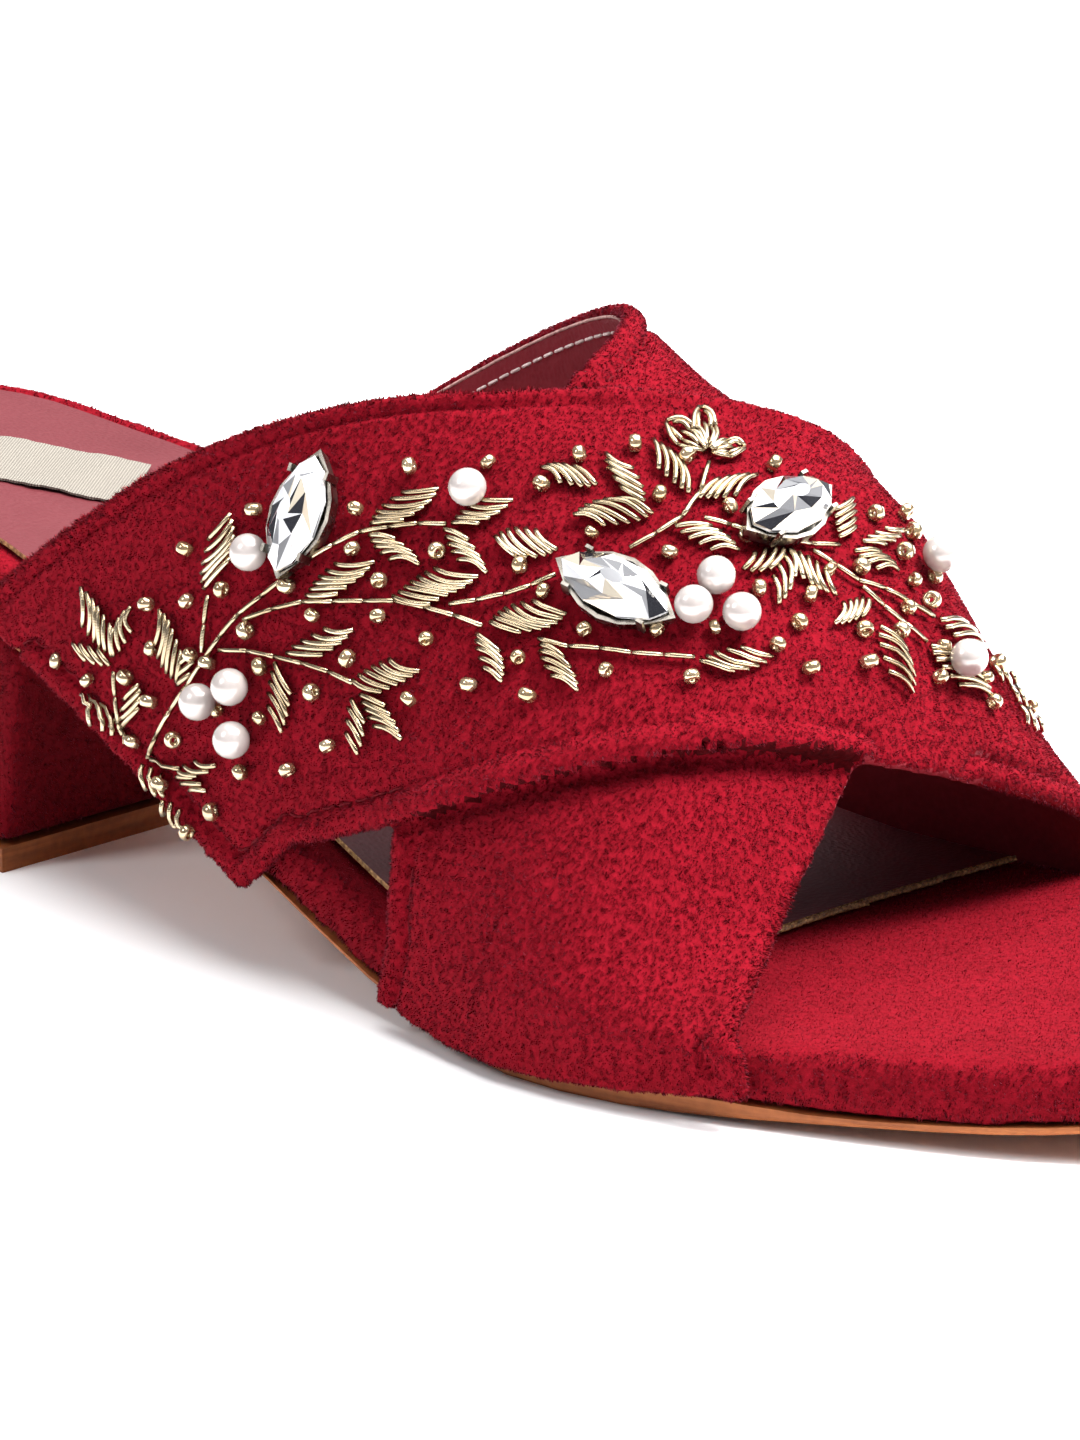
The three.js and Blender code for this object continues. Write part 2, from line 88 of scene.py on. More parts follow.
back = Vector((
    math.sin(AZIMUTH) * math.cos(ELEVATION),
    -math.cos(AZIMUTH) * math.cos(ELEVATION),
    math.sin(ELEVATION),
))
right = Vector((math.cos(AZIMUTH), math.sin(AZIMUTH), 0))
up = back.cross(right)
EYE = AIM + back * DISTANCE
bpy.ops.object.camera_add(location=EYE, rotation=(math.pi / 2 - ELEVATION, 0, AZIMUTH))
camera = bpy.context.object
camera.name = "photo_camera"
camera.data.sensor_width = SENSOR
camera.data.lens = FOCAL_PIXELS * SENSOR / PHOTO_SIZE[1]
camera.data.clip_start = 0.01
bpy.context.scene.camera = camera
print("camera at", [round(x, 4) for x in EYE], "lens", round(camera.data.lens, 2))

# %% [markdown]
# ## Floor and light
# A studio shoot on white: the floor is so brightly lit that it has no edge, and the shadow under the waist
# is faint. Three soft boxes do that here: a wide one overhead, a faint key from the left front that gives
# pearls and wire their highlight, and a strong one behind the shoe on the right, which brightens its crest.
# The world stays grey, because metal that mirrors only white looks like paper.

# %% Floor and light
FLOOR_SIDE = 8.0
bpy.ops.object.select_all(action="DESELECT")
bpy.ops.mesh.primitive_plane_add(size=FLOOR_SIDE, location=(0, 0, 0))
floor = bpy.context.object
floor.name = "studio_floor"
floor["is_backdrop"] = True


def soft_box(name, place, aim, size, watts):
    """A square area lamp that looks at a point."""
    bpy.ops.object.light_add(type="AREA", location=place)
    lamp = bpy.context.object
    lamp.name = name
    lamp.data.size = size
    lamp.data.energy = watts
    lamp.rotation_euler = (Vector(aim) - Vector(place)).to_track_quat("-Z", "Y").to_euler()
    return lamp


soft_box("overhead_box", (0.25, 0.5, 1.8), (0, 0, 0), 2.7, 124)
soft_box("key_box", (-0.45, -1.15, 1.05), (0.02, 0, 0.03), 0.45, 8)
soft_box("right_box", (0.9, 0.5, 1.6), (0.03, 0, 0.03), 0.6, 95)
world = bpy.data.worlds.new("studio_grey")
bpy.context.scene.world = world
world.use_nodes = True
world.node_tree.nodes["Background"].inputs["Color"].default_value = (0.9, 0.92, 1.0, 1)
world.node_tree.nodes["Background"].inputs["Strength"].default_value = 0.37
bpy.context.scene.view_settings.view_transform = "Standard"

# %% [markdown]
# ## Small helpers for modelling
# Operators act on whatever is selected, so every step begins by picking one piece. A CAD node arrives as
# loose triangles; a copy of it is merged by distance before anything else is done to it. Points and normals
# are read as arrays, because a velvet skin has tens of thousands of them.

# %% Helpers
MERGE = 0.004 * MM
PILE_MAP = "OFBake"


def pick(piece):
    """Leave only this piece selected and active."""
    bpy.ops.object.select_all(action="DESELECT")
    piece.select_set(True)
    bpy.context.view_layer.objects.active = piece
    return piece


def apply_step(piece, kind, **settings):
    """Add one modifier, set it and apply it."""
    pick(piece)
    step = piece.modifiers.new(kind.lower(), kind)
    for name, value in settings.items():
        setattr(step, name, value)
    bpy.ops.object.modifier_apply(modifier=step.name)
    return piece


def merge(piece, face_out=False):
    """Join points that lie on each other, and turn the faces outwards where that is asked for."""
    pick(piece)
    bpy.ops.object.mode_set(mode="EDIT")
    bpy.ops.mesh.select_all(action="SELECT")
    bpy.ops.mesh.remove_doubles(threshold=MERGE)
    if face_out:
        bpy.ops.mesh.normals_make_consistent(inside=False)
    bpy.ops.object.mode_set(mode="OBJECT")


def even_skin(piece, voxel, rounds):
    """Even quads all over a solid, smoothed a few times to round its edges."""
    apply_step(piece, "REMESH", mode="VOXEL", voxel_size=voxel, use_smooth_shade=True)
    apply_step(piece, "SMOOTH", factor=0.5, iterations=rounds)


def shade_edges(piece, degrees):
    """Shade smoothly, but keep edges sharper than this."""
    pick(piece)
    bpy.ops.object.shade_smooth_by_angle(angle=math.radians(degrees))


def link_piece(name, mesh):
    """Put a mesh into the scene as a piece."""
    piece = bpy.data.objects.new(name, mesh)
    bpy.context.scene.collection.objects.link(piece)
    return piece


def draw_map(mesh, chart):
    """Give a mesh the map that its finish reads, one place for each corner."""
    mesh.uv_layers.new(name=PILE_MAP).data.foreach_set("uv", np.asarray(chart, np.float32).ravel())


def copy_node(node, name):
    """A merged copy of a CAD node, with a mesh of its own and no tie to the frame."""
    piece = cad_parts[node].copy()
    piece.data = piece.data.copy()
    piece.name = name
    piece.parent = None
    for key in list(piece.keys()):
        del piece[key]
    bpy.context.scene.collection.objects.link(piece)
    pick(piece)
    bpy.ops.mesh.customdata_custom_splitnormals_clear()
    merge(piece)
    return piece


def points_of(mesh):
    flat = np.empty(len(mesh.vertices) * 3)
    mesh.vertices.foreach_get("co", flat)
    return flat.reshape(-1, 3)


def normals_of(mesh):
    flat = np.empty(len(mesh.vertices) * 3, np.float32)
    mesh.vertex_normals.foreach_get("vector", flat)
    return flat.reshape(-1, 3).astype(float)


def corners_of(mesh):
    corners = np.empty(len(mesh.loops), np.int32)
    mesh.loops.foreach_get("vertex_index", corners)
    return corners


def face_rows(mesh):
    """Centres and normals of a mesh's faces."""
    return np.array([f.center for f in mesh.polygons]), np.array([f.normal for f in mesh.polygons])


def move_points(mesh, points):
    mesh.vertices.foreach_set("co", points.ravel())
    mesh.update()


def unit(vectors):
    return vectors / np.maximum(np.linalg.norm(vectors, axis=-1, keepdims=True), 1e-12)


def ease(values, start, span):
    """0 up to the start, 1 after the span, and an even climb between."""
    return np.clip((values - start) / span, 0, 1)


def lengths_along(line):
    """The way along a line to each of its points."""
    return np.concatenate([[0], np.cumsum(np.linalg.norm(np.diff(line, axis=0), axis=1))])


def line_at(line, stops):
    """The points of a line at these ways along it."""
    reach = lengths_along(line)
    return np.column_stack([np.interp(stops, reach, column) for column in line.T])


def tree_of(piece):
    """A search tree of a piece's faces, for rays and nearest points."""
    mesh = piece.data
    return BVHTree.FromPolygons([v.co for v in mesh.vertices], [p.vertices for p in mesh.polygons])


def seat(piece, slot, *nodes):
    """Ride on the shoe and stand for the nodes it replaces; the slot is not used."""
    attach(piece, "root")
    if nodes:
        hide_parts(*nodes)
    return piece


def give(piece, *materials):
    """Put these materials in a piece's slots, in order."""
    piece.data.materials.clear()
    for material in materials:
        piece.data.materials.append(material)
    return piece


print("helpers ready")

# %% [markdown]
# ## Shader maths as plain sums
# Wiring Math nodes by hand hides what a pattern does. This class wraps a socket so that sums written in
# Python add the nodes themselves, and its method node makes any other node: type, settings first, then
# sockets. Nearly every finish needs noise, a ramp of colours and a bump, so each of these gets a short
# helper.

# %% Shader class


class Wire:
    """A shader socket that adds, multiplies and so on like a number."""

    def __init__(self, tree, socket=None):
        self.tree = tree
        self.socket = socket

    def node(self, kind, settings=None, sockets=None, out=0):
        made = self.tree.nodes.new("ShaderNode" + kind)
        for name, value in (settings or {}).items():
            if name == "stops":
                elements = made.color_ramp.elements
                while len(elements) < len(value):
                    elements.new(1.0)
                for stop, (place, colour) in zip(elements, value):
                    stop.position = place
                    stop.color = (*colour, 1)
            else:
                setattr(made, name, value)
        for name, value in (sockets or {}).items():
            if isinstance(value, Wire):
                self.tree.links.new(value.socket, made.inputs[name])
            else:
                made.inputs[name].default_value = value
        return Wire(self.tree, made.outputs[out] if made.outputs else None)

    def sum(self, operation, first, second):
        return self.node("Math", {"operation": operation}, {0: first, 1: second})

    def __add__(self, other):
        return self.sum("ADD", self, other)

    def __radd__(self, other):
        return self.sum("ADD", other, self)

    def __sub__(self, other):
        return self.sum("SUBTRACT", self, other)

    def __rsub__(self, other):
        return self.sum("SUBTRACT", other, self)

    def __mul__(self, other):
        return self.sum("MULTIPLY", self, other)

    def __rmul__(self, other):
        return self.sum("MULTIPLY", other, self)

    def __pow__(self, other):
        return self.sum("POWER", self, other)


def start_finish(name):
    """A new material and the wire that adds nodes to it."""
    made = bpy.data.materials.new(name)
    made.use_nodes = True
    made.node_tree.nodes.clear()
    return made, Wire(made.node_tree)


def surface(wire, sockets):
    """The Principled shader at the end of a finish."""
    shader = wire.node("BsdfPrincipled", None, sockets)
    wire.node("OutputMaterial", None, {"Surface": shader})


def noise(wire, scale, detail=2.0):
    """Noise on the piece's own coordinates."""
    place = wire.node("TexCoord", out="Object")
    return wire.node("TexNoise", None, {"Vector": place, "Scale": scale, "Detail": detail})


def ramp(wire, share, *stops):
    """A colour that runs through these stops."""
    return wire.node("ValToRGB", {"stops": stops}, {"Fac": share})


def bumped(wire, height, strength, depth=0.2 * MM):
    """The normal of a surface with this relief."""
    return wire.node("Bump", None, {"Strength": strength, "Distance": depth, "Height": height})


print("shader class ready")

# %% [markdown]
# ## Floor finish
# A sheet of matt white paper with a trace of unevenness in its tone.

# %% Floor finish
floor_paper, wire = start_finish("floor_paper")
tone = ramp(wire, noise(wire, 3.0), (0.3, (0.93, 0.93, 0.935)), (0.7, (0.95, 0.95, 0.95)))
surface(wire, {"Base Color": tone, "Roughness": 0.9, "Specular IOR Level": 0.1})
give(floor, floor_paper)
print("floor finished")

# %% [markdown]
# ## Velvet finishes
# Velvet is a ground cloth with a pile standing on it. Seen from the side the pile tips catch the light, and
# between the tufts one looks into shade. So there are two kinds of finish: a ground, and a pile that runs
# from deep red at the root of a fibre to brighter red at its tip, which is painted shade at the root and
# painted light at the tip. The pile's own map holds the height along a fibre in V and the shade of its tuft
# in U. The straps and the footbed each have tones of their own, because one dye looks different where feet
# have pressed it; the heel's darker tones are painted shade. Rims have a brighter pile without sheen, a
# painted highlight, and the ground under the top strap's edge is nearly black with painted shade.

# %% Velvet finishes


def ground(name, dark, light):
    """The cloth under the pile, between two tones."""
    made, wire = start_finish(name)
    speckle = noise(wire, 1400.0, 3.0)
    tone = ramp(wire, speckle * 0.7 + noise(wire, 120.0) * 0.3, (0.35, dark), (0.65, light))
    surface(wire, {
        "Base Color": tone, "Roughness": 0.95, "Normal": bumped(wire, speckle, 0.5, 0.4 * MM),
        "Specular IOR Level": 0.05,
    })
    return made


def pile(name, root, middle, tip, sheen):
    """Pile between three tones, from the root of a fibre to its tip: painted shade at the root, painted light
    at the tip.
    """
    made, wire = start_finish(name)
    chart = wire.node("UVMap", {"uv_map": PILE_MAP})
    shade = wire.node("SeparateXYZ", None, {"Vector": chart})
    height = Wire(wire.tree, shade.socket.node.outputs[1])
    tone = ramp(wire, height * 0.6 + shade * 0.45, (0.0, root), (0.5, middle), (1.0, tip))
    surface(wire, {
        "Base Color": tone, "Roughness": 0.85, "Specular IOR Level": 0.08,
        "Sheen Weight": sheen, "Sheen Roughness": 0.35, "Sheen Tint": (1.0, 0.2, 0.3, 1),
    })
    return made


velvet_skin = ground("velvet_skin", (0.115, 0.0016, 0.0051), (0.17, 0.0027, 0.0087))
bed_skin = ground("bed_skin", (0.105, 0.0014, 0.0046), (0.155, 0.0024, 0.0078))
# The heel's ground is darker than the straps': painted shade.
painted_shade_heel_skin = ground("painted_shade_heel_skin", (0.072, 0.0011, 0.0034), (0.108, 0.0019, 0.0055))
# A nearly black ground for the faces under the top strap's edge: painted shade.
velvet_painted_shade = ground("velvet_painted_shade", (0.02, 0.0004, 0.001), (0.045, 0.0008, 0.002))
velvet_pile = pile("velvet_pile", (0.131, 0.002, 0.0062), (0.152, 0.0033, 0.0095), (0.192, 0.0083, 0.02), 0.1)
# The rim pile is brighter than the rest and has no sheen: a painted highlight on the rim fibres.
painted_highlight_rim_pile = pile("painted_highlight_rim_pile", (0.15, 0.002, 0.006), (0.19, 0.003, 0.009), (0.24, 0.006, 0.015), 0.0)
bed_pile = pile("bed_pile", (0.125, 0.002, 0.006), (0.148, 0.003, 0.009), (0.18, 0.0065, 0.0165), 0.22)
# The heel's pile is darker than the straps': painted shade.
painted_shade_heel_pile = pile("painted_shade_heel_pile", (0.075, 0.0014, 0.0038), (0.092, 0.0025, 0.006), (0.115, 0.005, 0.012), 0.15)
print("velvet finishes:", [m.name for m in bpy.data.materials if m.name.endswith(("skin", "shade", "pile"))])

# %% [markdown]
# ## Leather finishes
# The lining and the sock are smooth leather with a fine grain: small cells for the grain, and a slow drift
# in colour and gloss.

# %% Leather finishes


def leather(name, dark, light, rough, grain, gloss):
    """Fine-grained leather between two tones."""
    made, wire = start_finish(name)
    place = wire.node("TexCoord", out="Object")
    cells = wire.node("TexVoronoi", None, {"Vector": place, "Scale": grain})
    drift = noise(wire, 60.0, 4.0)
    tone = ramp(wire, drift * 0.8 + cells * 0.2, (0.3, dark), (0.7, light))
    surface(wire, {
        "Base Color": tone, "Roughness": drift * 0.2 + rough, "Normal": bumped(wire, cells, 0.35),
        "Specular IOR Level": gloss,
    })
    return made


lining_leather = leather("lining_leather", (0.16, 0.011, 0.017), (0.215, 0.019, 0.028), 0.55, 1500.0, 0.1)
sock_leather = leather("sock_leather", (0.078, 0.0113, 0.0145), (0.098, 0.0168, 0.021), 0.48, 1700.0, 0.18)
print("leather finishes:", lining_leather.name, sock_leather.name)

# %% [markdown]
# ## Sole, cut edge and ribbon finishes
# The sole's edge is waxed tan leather, with thin layers that show as streaks: noise squeezed in height
# gives them. The sock's cut edge and its cord are a fibrous tan. The label is a ribbed ribbon, whose ribs
# are waves across its length.

# %% Sole, cut edge and ribbon finishes
sole_edge, wire = start_finish("sole_edge")
place = wire.node("TexCoord", out="Object")
stretched = wire.node("Mapping", None, {"Vector": place, "Scale": (60.0, 60.0, 1100.0)})
streak = wire.node("TexNoise", None, {"Vector": stretched, "Scale": 1.0, "Detail": 5.0})
grit = noise(wire, 900.0)
tone = ramp(
    wire, streak * 0.75 + grit * 0.25,
    (0.3, (0.14, 0.036, 0.010)), (0.55, (0.25, 0.075, 0.021)), (0.75, (0.33, 0.115, 0.034)),
)
surface(wire, {
    "Base Color": tone, "Roughness": 0.6, "Normal": bumped(wire, streak + grit, 0.4),
    "Specular IOR Level": 0.2,
})

tan_edge, wire = start_finish("tan_edge")
fibre = noise(wire, 2200.0, 3.0)
tone = ramp(
    wire, fibre, (0.32, (0.09, 0.036, 0.012)), (0.52, (0.27, 0.13, 0.045)), (0.7, (0.50, 0.29, 0.12))
)
surface(wire, {"Base Color": tone, "Roughness": 0.55, "Normal": bumped(wire, fibre, 0.6)})

ribbon_weave, wire = start_finish("ribbon_weave")
chart = wire.node("UVMap", {"uv_map": PILE_MAP})
ribs = wire.node("TexWave", {"bands_direction": "X"}, {
    "Vector": chart, "Scale": 30.0, "Distortion": 0.5, "Detail": 2.0,
})
threads = wire.node("TexNoise", None, {"Vector": chart, "Scale": 90.0, "Detail": 3.0})
tone = ramp(
    wire, ribs * 0.6 + threads * 0.45,
    (0.1, (0.10, 0.088, 0.072)), (0.6, (0.175, 0.156, 0.129)), (1.0, (0.222, 0.2, 0.168)),
)
surface(wire, {"Base Color": tone, "Roughness": 0.8, "Normal": bumped(wire, ribs * 0.8 + threads * 0.2, 0.6)})
print("sole, cut edge and ribbon finishes ready")

# %% [markdown]
# ## Finishes of the embellishment
# Purl wire is a fine coil of plated metal, pale gold and shiny, with a rib for every turn. Seed beads are
# gold glass with a bright lining. The pearls are glass with a pearl coat: a soft body under a clear gloss.
# The stones are clear glass over a mirrored back. What one sees is the mirror, broken up by the cut, so
# each facet carries a painted reflection, a tone of its own in an attribute, and a clear coat does the rest.

# %% Wire and bead finishes
purl_gold, wire = start_finish("purl_gold")
chart = wire.node("UVMap", {"uv_map": PILE_MAP})
turns = wire.node("TexWave", {"bands_direction": "Y"}, {"Vector": chart, "Scale": 190.0, "Distortion": 0.3})
tone = ramp(
    wire, noise(wire, 160.0) * 0.85 + turns * 0.15,
    (0.3, (0.255, 0.19, 0.115)), (0.55, (0.46, 0.37, 0.245)), (0.8, (0.64, 0.545, 0.4)),
)
surface(wire, {
    "Base Color": tone, "Metallic": 1.0, "Roughness": 0.2, "Normal": bumped(wire, turns, 0.12, 0.1 * MM),
})

seed_gold, wire = start_finish("seed_gold")
tone = ramp(wire, noise(wire, 300.0), (0.3, (0.46, 0.31, 0.15)), (0.7, (0.76, 0.62, 0.41)))
surface(wire, {
    "Base Color": tone, "Metallic": 0.65, "Roughness": 0.12, "IOR": 1.52, "Transmission Weight": 0.7,
    "Coat Weight": 0.8, "Coat Roughness": 0.03,
})

pearl_coat, wire = start_finish("pearl_coat")
tone = ramp(wire, noise(wire, 260.0), (0.3, (0.40, 0.355, 0.333)), (0.7, (0.50, 0.45, 0.427)))
surface(wire, {
    "Base Color": tone, "Metallic": 0.35, "Roughness": 0.26, "Coat Weight": 0.6, "Coat Roughness": 0.06,
    "Specular IOR Level": 0.3,
})
print("wire and bead finishes ready")

# %% Stone and thread finishes
stone_foil, wire = start_finish("stone_foil")
# Each facet's tone is a painted reflection of the mirror behind it.
shine = wire.node("Attribute", {"attribute_name": "shine"}, out="Fac")
tone = ramp(
    wire, shine, (0.0, (0.02, 0.02, 0.025)), (0.3, (0.26, 0.26, 0.27)), (0.65, (0.60, 0.53, 0.42)),
    (1.0, (0.92, 0.92, 0.93)),
)
surface(wire, {
    "Base Color": tone, "Metallic": 0.55, "Roughness": 0.06, "Coat Weight": 1.0, "Coat Roughness": 0.02,
})

setting_metal, wire = start_finish("setting_metal")
tarnish = noise(wire, 420.0, 3.0)
tone = ramp(wire, tarnish, (0.3, (0.15, 0.13, 0.11)), (0.7, (0.42, 0.39, 0.34)))
surface(wire, {"Base Color": tone, "Metallic": 1.0, "Roughness": tarnish * 0.25 + 0.15})


def thread(name, dark, light):
    """Twisted sewing thread between two tones."""
    made, wire = start_finish(name)
    tone = ramp(wire, noise(wire, 2600.0), (0.3, dark), (0.7, light))
    surface(wire, {"Base Color": tone, "Roughness": 0.8, "Specular IOR Level": 0.1})
    return made


pale_thread = thread("pale_thread", (0.56, 0.43, 0.40), (0.86, 0.73, 0.69))
red_thread = thread("red_thread", (0.06, 0.0008, 0.003), (0.12, 0.0015, 0.006))
raw_edge = thread("raw_edge", (0.40, 0.21, 0.19), (0.64, 0.42, 0.38))
print("stone and thread finishes ready")

# %% [markdown]
# ## Which way is out?
# A point of the straps faces outwards if its normal points away from the middle of the foot, a line that
# runs a little above the footbed.

# %% Outside and inside
FOOT_MIDDLE = 4.0 * MM
bed_tree = tree_of(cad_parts["footbed"])
stations = np.linspace(CAD_BOX[0][0] + 5 * MM, CAD_BOX[1][0] - 5 * MM, 60)
bed_heights = np.array([bed_tree.ray_cast(Vector((x, 0, 1)), Vector((0, 0, -1)))[0].z for x in stations])


def from_middle(points):
    """The way from the middle of the foot to each point."""
    heights = np.interp(points[:, 0], stations, bed_heights) + FOOT_MIDDLE
    return unit(points - np.column_stack([points[:, 0], np.zeros(len(points)), heights]))


def outward(points, normals):
    """How far each normal points away from the middle of the foot, from -1 to 1."""
    return (from_middle(points) * normals).sum(1)


print("middle of the foot at", len(stations), "stations")

# %% [markdown]
# ## Rims of the straps
# Hems, seams and the lining all follow the rims. A rim is found by firing a ray into the solid: through a
# strap's face it leaves after a couple of millimetres, through a rim only much later. Two more rays from
# just in front of the rim tell which kind it is. Where the outward ray meets a strap, the rim lies hidden
# under it and is left out. Where the inward ray meets the outside of the other strap, the rim is the top
# strap's edge lying over it. A slanting rim can meet its own face too, so the face that is met has to look
# another way than the rim does.

# %% Rims
RIM_DEPTH = 4.0 * MM
RIM_STEPS = 5
RIM_SHARES = [(a / RIM_STEPS, b / RIM_STEPS) for a in range(RIM_STEPS + 1) for b in range(RIM_STEPS + 1 - a)]
RIM_INSIDE = 0.02 * MM
RIM_FACING = 0.75
FOOT_FACING = -0.93
RIM_CLEAR = 0.3 * MM
RIM_COVER = 6.0 * MM
MET_FACING = 0.3
SAME_FACING = 0.7
RIM_BLEND = 5.0 * MM

upper = copy_node("upper", "velvet_upper")
solid_tree = tree_of(upper)


def lies_over(front, away, rim_normal):
    """Does a ray towards the foot soon meet the outside of another strap, not the rim's own face?"""
    spot, normal, _, _ = solid_tree.ray_cast(front, -away, RIM_COVER)
    return spot is not None and normal.dot(away) > MET_FACING and normal.dot(rim_normal) < SAME_FACING


rims = []
for face in upper.data.polygons:
    away = Vector(from_middle(np.array([face.center]))[0])
    if face.normal.z < FOOT_FACING or abs(away.dot(face.normal)) > RIM_FACING:
        continue
    _, _, _, through = solid_tree.ray_cast(face.center - face.normal * RIM_INSIDE, -face.normal)
    if through is not None and through < RIM_DEPTH:
        continue
    a, b, c = (upper.data.vertices[i].co for i in face.vertices[:3])
    for s, t in RIM_SHARES:
        spot = a + (b - a) * s + (c - a) * t
        front = spot + face.normal * RIM_CLEAR
        if solid_tree.ray_cast(front, away, RIM_COVER)[0] is None:
            rims.append((spot, face.normal.copy(), lies_over(front, away, face.normal)))


def search_of(spots):
    """A search tree of points."""
    tree = KDTree(len(spots))
    for index, spot in enumerate(spots):
        tree.insert(spot, index)
    tree.balance()
    return tree


free = [(spot, normal) for spot, normal, below in rims if not below]
outer_rims = search_of([spot for spot, _, _ in rims])
free_rims = search_of([spot for spot, _ in free])
step_rims = search_of([spot for spot, _, below in rims if below])
overlap = [np.mean([rims[i][2] for _, i, _ in outer_rims.find_range(spot, RIM_BLEND)]) for spot, _, _ in rims]
print("rim samples:", len(rims), "of them over a strap:", sum(below for _, _, below in rims))

# %% [markdown]
# ## The upper's skin
# The upper is two velvet straps sewn over each other, each a padded sandwich of velvet and lining. The
# solid has the right arch and wall but hard edges. A voxel remesh gives it even quads, and smoothing rounds
# its rims.

# %% Upper skin
UPPER_VOXEL = 0.66 * MM
INNER_SIDE = -0.3
STITCHED_FACING = 0.12
SOFT_HEM = 0.8
NO_HEM = 0.1
BEHIND_FROM = 0.5
BEHIND_SPAN = 0.4
NEAREST = 0.01 * MM

even_skin(upper, UPPER_VOXEL, rounds=3)
print("upper skin faces:", len(upper.data.polygons))


def rim_table(points, facing):
    """Distance to the nearest rim, share behind it, how far it lies over a strap, depth of its hem."""
    rows = []
    for point, away in zip(points, facing):
        if away < INNER_SIDE:
            rows.append((free_rims.find(Vector(point))[2], 0, 0, 0))
            continue
        spot, index, far = outer_rims.find(Vector(point))
        normal = rims[index][1]
        ahead = (Vector(point) - spot).dot(normal) / max(far, NEAREST)
        sewn = 1 if normal.y < STITCHED_FACING else SOFT_HEM if normal.x < 0 else NO_HEM
        rows.append((far, min(1, max(0, (BEHIND_FROM - ahead) / BEHIND_SPAN)), overlap[index], sewn))
    return np.array(rows, float).T


# %% [markdown]
# Now the points of the skin are moved. All on the outside go inwards by the height that the pile will add.
# Behind the rims that face the outer side of the shoe they sink into a stitched trough, with a rolled hem
# beside it. The other rims get a softer and narrower trough where they look back, and almost none where
# they look forward. The top strap's edge stands up where it lies over the other one, and the lower strap
# dips under it, which gives it a shadow.

# %% Hems
HEM_WIDTH = 3.5 * MM
SOFT_HEM_WIDTH = 2.4 * MM
HEM_TROUGH = 0.95 * MM
TROUGH_HALF = 0.55 * MM
TROUGH_OVER = 0.3
HEM_ROLL = 0.35 * MM
ROLL_AT = HEM_WIDTH * 0.45
ROLL_HALF = HEM_WIDTH * 0.4
EDGE_RISE = 1.2 * MM
EDGE_WIDTH = 2.3 * MM
EDGE_SLOPE = 0.9 * MM
SLOPE_WIDTH = 4.5 * MM
EDGE_GROOVE = 0.8 * MM
GROOVE_WIDTH = 1.2 * MM
PILE_ROOM = 0.16 * MM
OUTSIDE_FROM = -0.25
OUTSIDE_SPAN = 0.5


def hump(distance, half):
    """1 at no distance, falling off smoothly to each side."""
    return np.exp(-((distance / half) ** 2))


points = points_of(upper.data)
normals = normals_of(upper.data)
facing = outward(points, normals)
to_rim, behind, over, sewn = rim_table(points, facing)
outer = ease(facing, OUTSIDE_FROM, OUTSIDE_SPAN)
hem_width = np.where(sewn == SOFT_HEM, SOFT_HEM_WIDTH, HEM_WIDTH)
trough = hump(to_rim - hem_width, TROUGH_HALF) * (1 - (1 - TROUGH_OVER) * over) * sewn
edge = EDGE_RISE * behind * hump(to_rim, EDGE_WIDTH)
groove = (1 - behind) * (EDGE_SLOPE * hump(to_rim, SLOPE_WIDTH) + EDGE_GROOVE * hump(to_rim, GROOVE_WIDTH))
hem = behind * (HEM_ROLL * hump(to_rim - ROLL_AT, ROLL_HALF) - HEM_TROUGH * trough) + over * (edge - groove)
move_points(upper.data, points + normals * (outer * (hem - PILE_ROOM))[:, None])
print("hems: deepest trough mm", round(float(trough.max() * HEM_TROUGH / MM), 2))

# %% [markdown]
# The faces then get their finish: leather inside, from a little way behind the rim on, painted shade under
# the top strap's edge, a nearly black ground where hardly any light comes, and velvet ground everywhere else.

# %% Ground, lining and shade
LINING_STARTS = 0.9 * MM
STEP_CLEAR = 2.5 * MM
LIP_FACING = 0.2

give(upper, velvet_skin, lining_leather, velvet_painted_shade)
face_points, face_normals = face_rows(upper.data)
face_facing = outward(face_points, face_normals)
face_rim, face_behind, face_over, face_sewn = rim_table(face_points, face_facing)
off_step = np.array([step_rims.find(Vector(p))[2] > STEP_CLEAR for p in face_points])
inner = (face_facing < INNER_SIDE) & off_step
# Faces under the top strap's edge get the nearly black ground: painted shade.
lip_painted_shade = (face_facing < LIP_FACING) & ~off_step
lined = inner & (face_rim > LINING_STARTS)
upper.data.polygons.foreach_set("material_index", np.where(lip_painted_shade, 2, lined).astype(np.int32))
upper.data.update()
seat(upper, "velvet", "upper")
upper_tree = tree_of(upper)
print("lined faces:", int(lined.sum()), "of", len(lined))

# %% [markdown]
# ## Footbed and heel skins
# The footbed is a padded board wrapped in the same velvet, and the heel is a block covered with it. Both
# solids have their final form, so they mainly get even faces and softer edges. The footbed's lower edge
# comes down to the outsole, because the velvet is wrapped round the board. On the inner side of the heel
# the velvet stands up as a small roll beside the sock.

# %% Footbed skin
BED_VOXEL = 1.3 * MM
BED_SEAT = 0.4 * MM
UNDER_FACING = -0.2
BED_ROLL = 1.1 * MM
ROLL_GAP = 0.4 * MM
ROLL_CLIMB = 0.8 * MM
LEVEL_FROM = 0.1
LEVEL_SPAN = 0.5
ROLL_FRONT = -60 * MM
ROLL_FADE = 15 * MM
SOCK_BELOW = 2 * MM
SOCK_REACH = 8 * MM
UPWARDS = Vector((0, 0, 1))

footbed = copy_node("footbed", "velvet_footbed")
even_skin(footbed, BED_VOXEL, rounds=3)
bed_spots, bed_facing = points_of(footbed.data), normals_of(footbed.data)
bed_spots -= bed_facing * PILE_ROOM
bed_spots[:, 2] -= np.where(bed_facing[:, 2] < UNDER_FACING, BED_SEAT, 0)
sock_tree = tree_of(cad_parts["sock"])


def under_sock(points):
    """Which points of the footbed the sock covers."""
    lowered = [Vector(p) - UPWARDS * SOCK_BELOW for p in points]
    return np.array([sock_tree.ray_cast(p, UPWARDS, SOCK_REACH)[0] is not None for p in lowered])


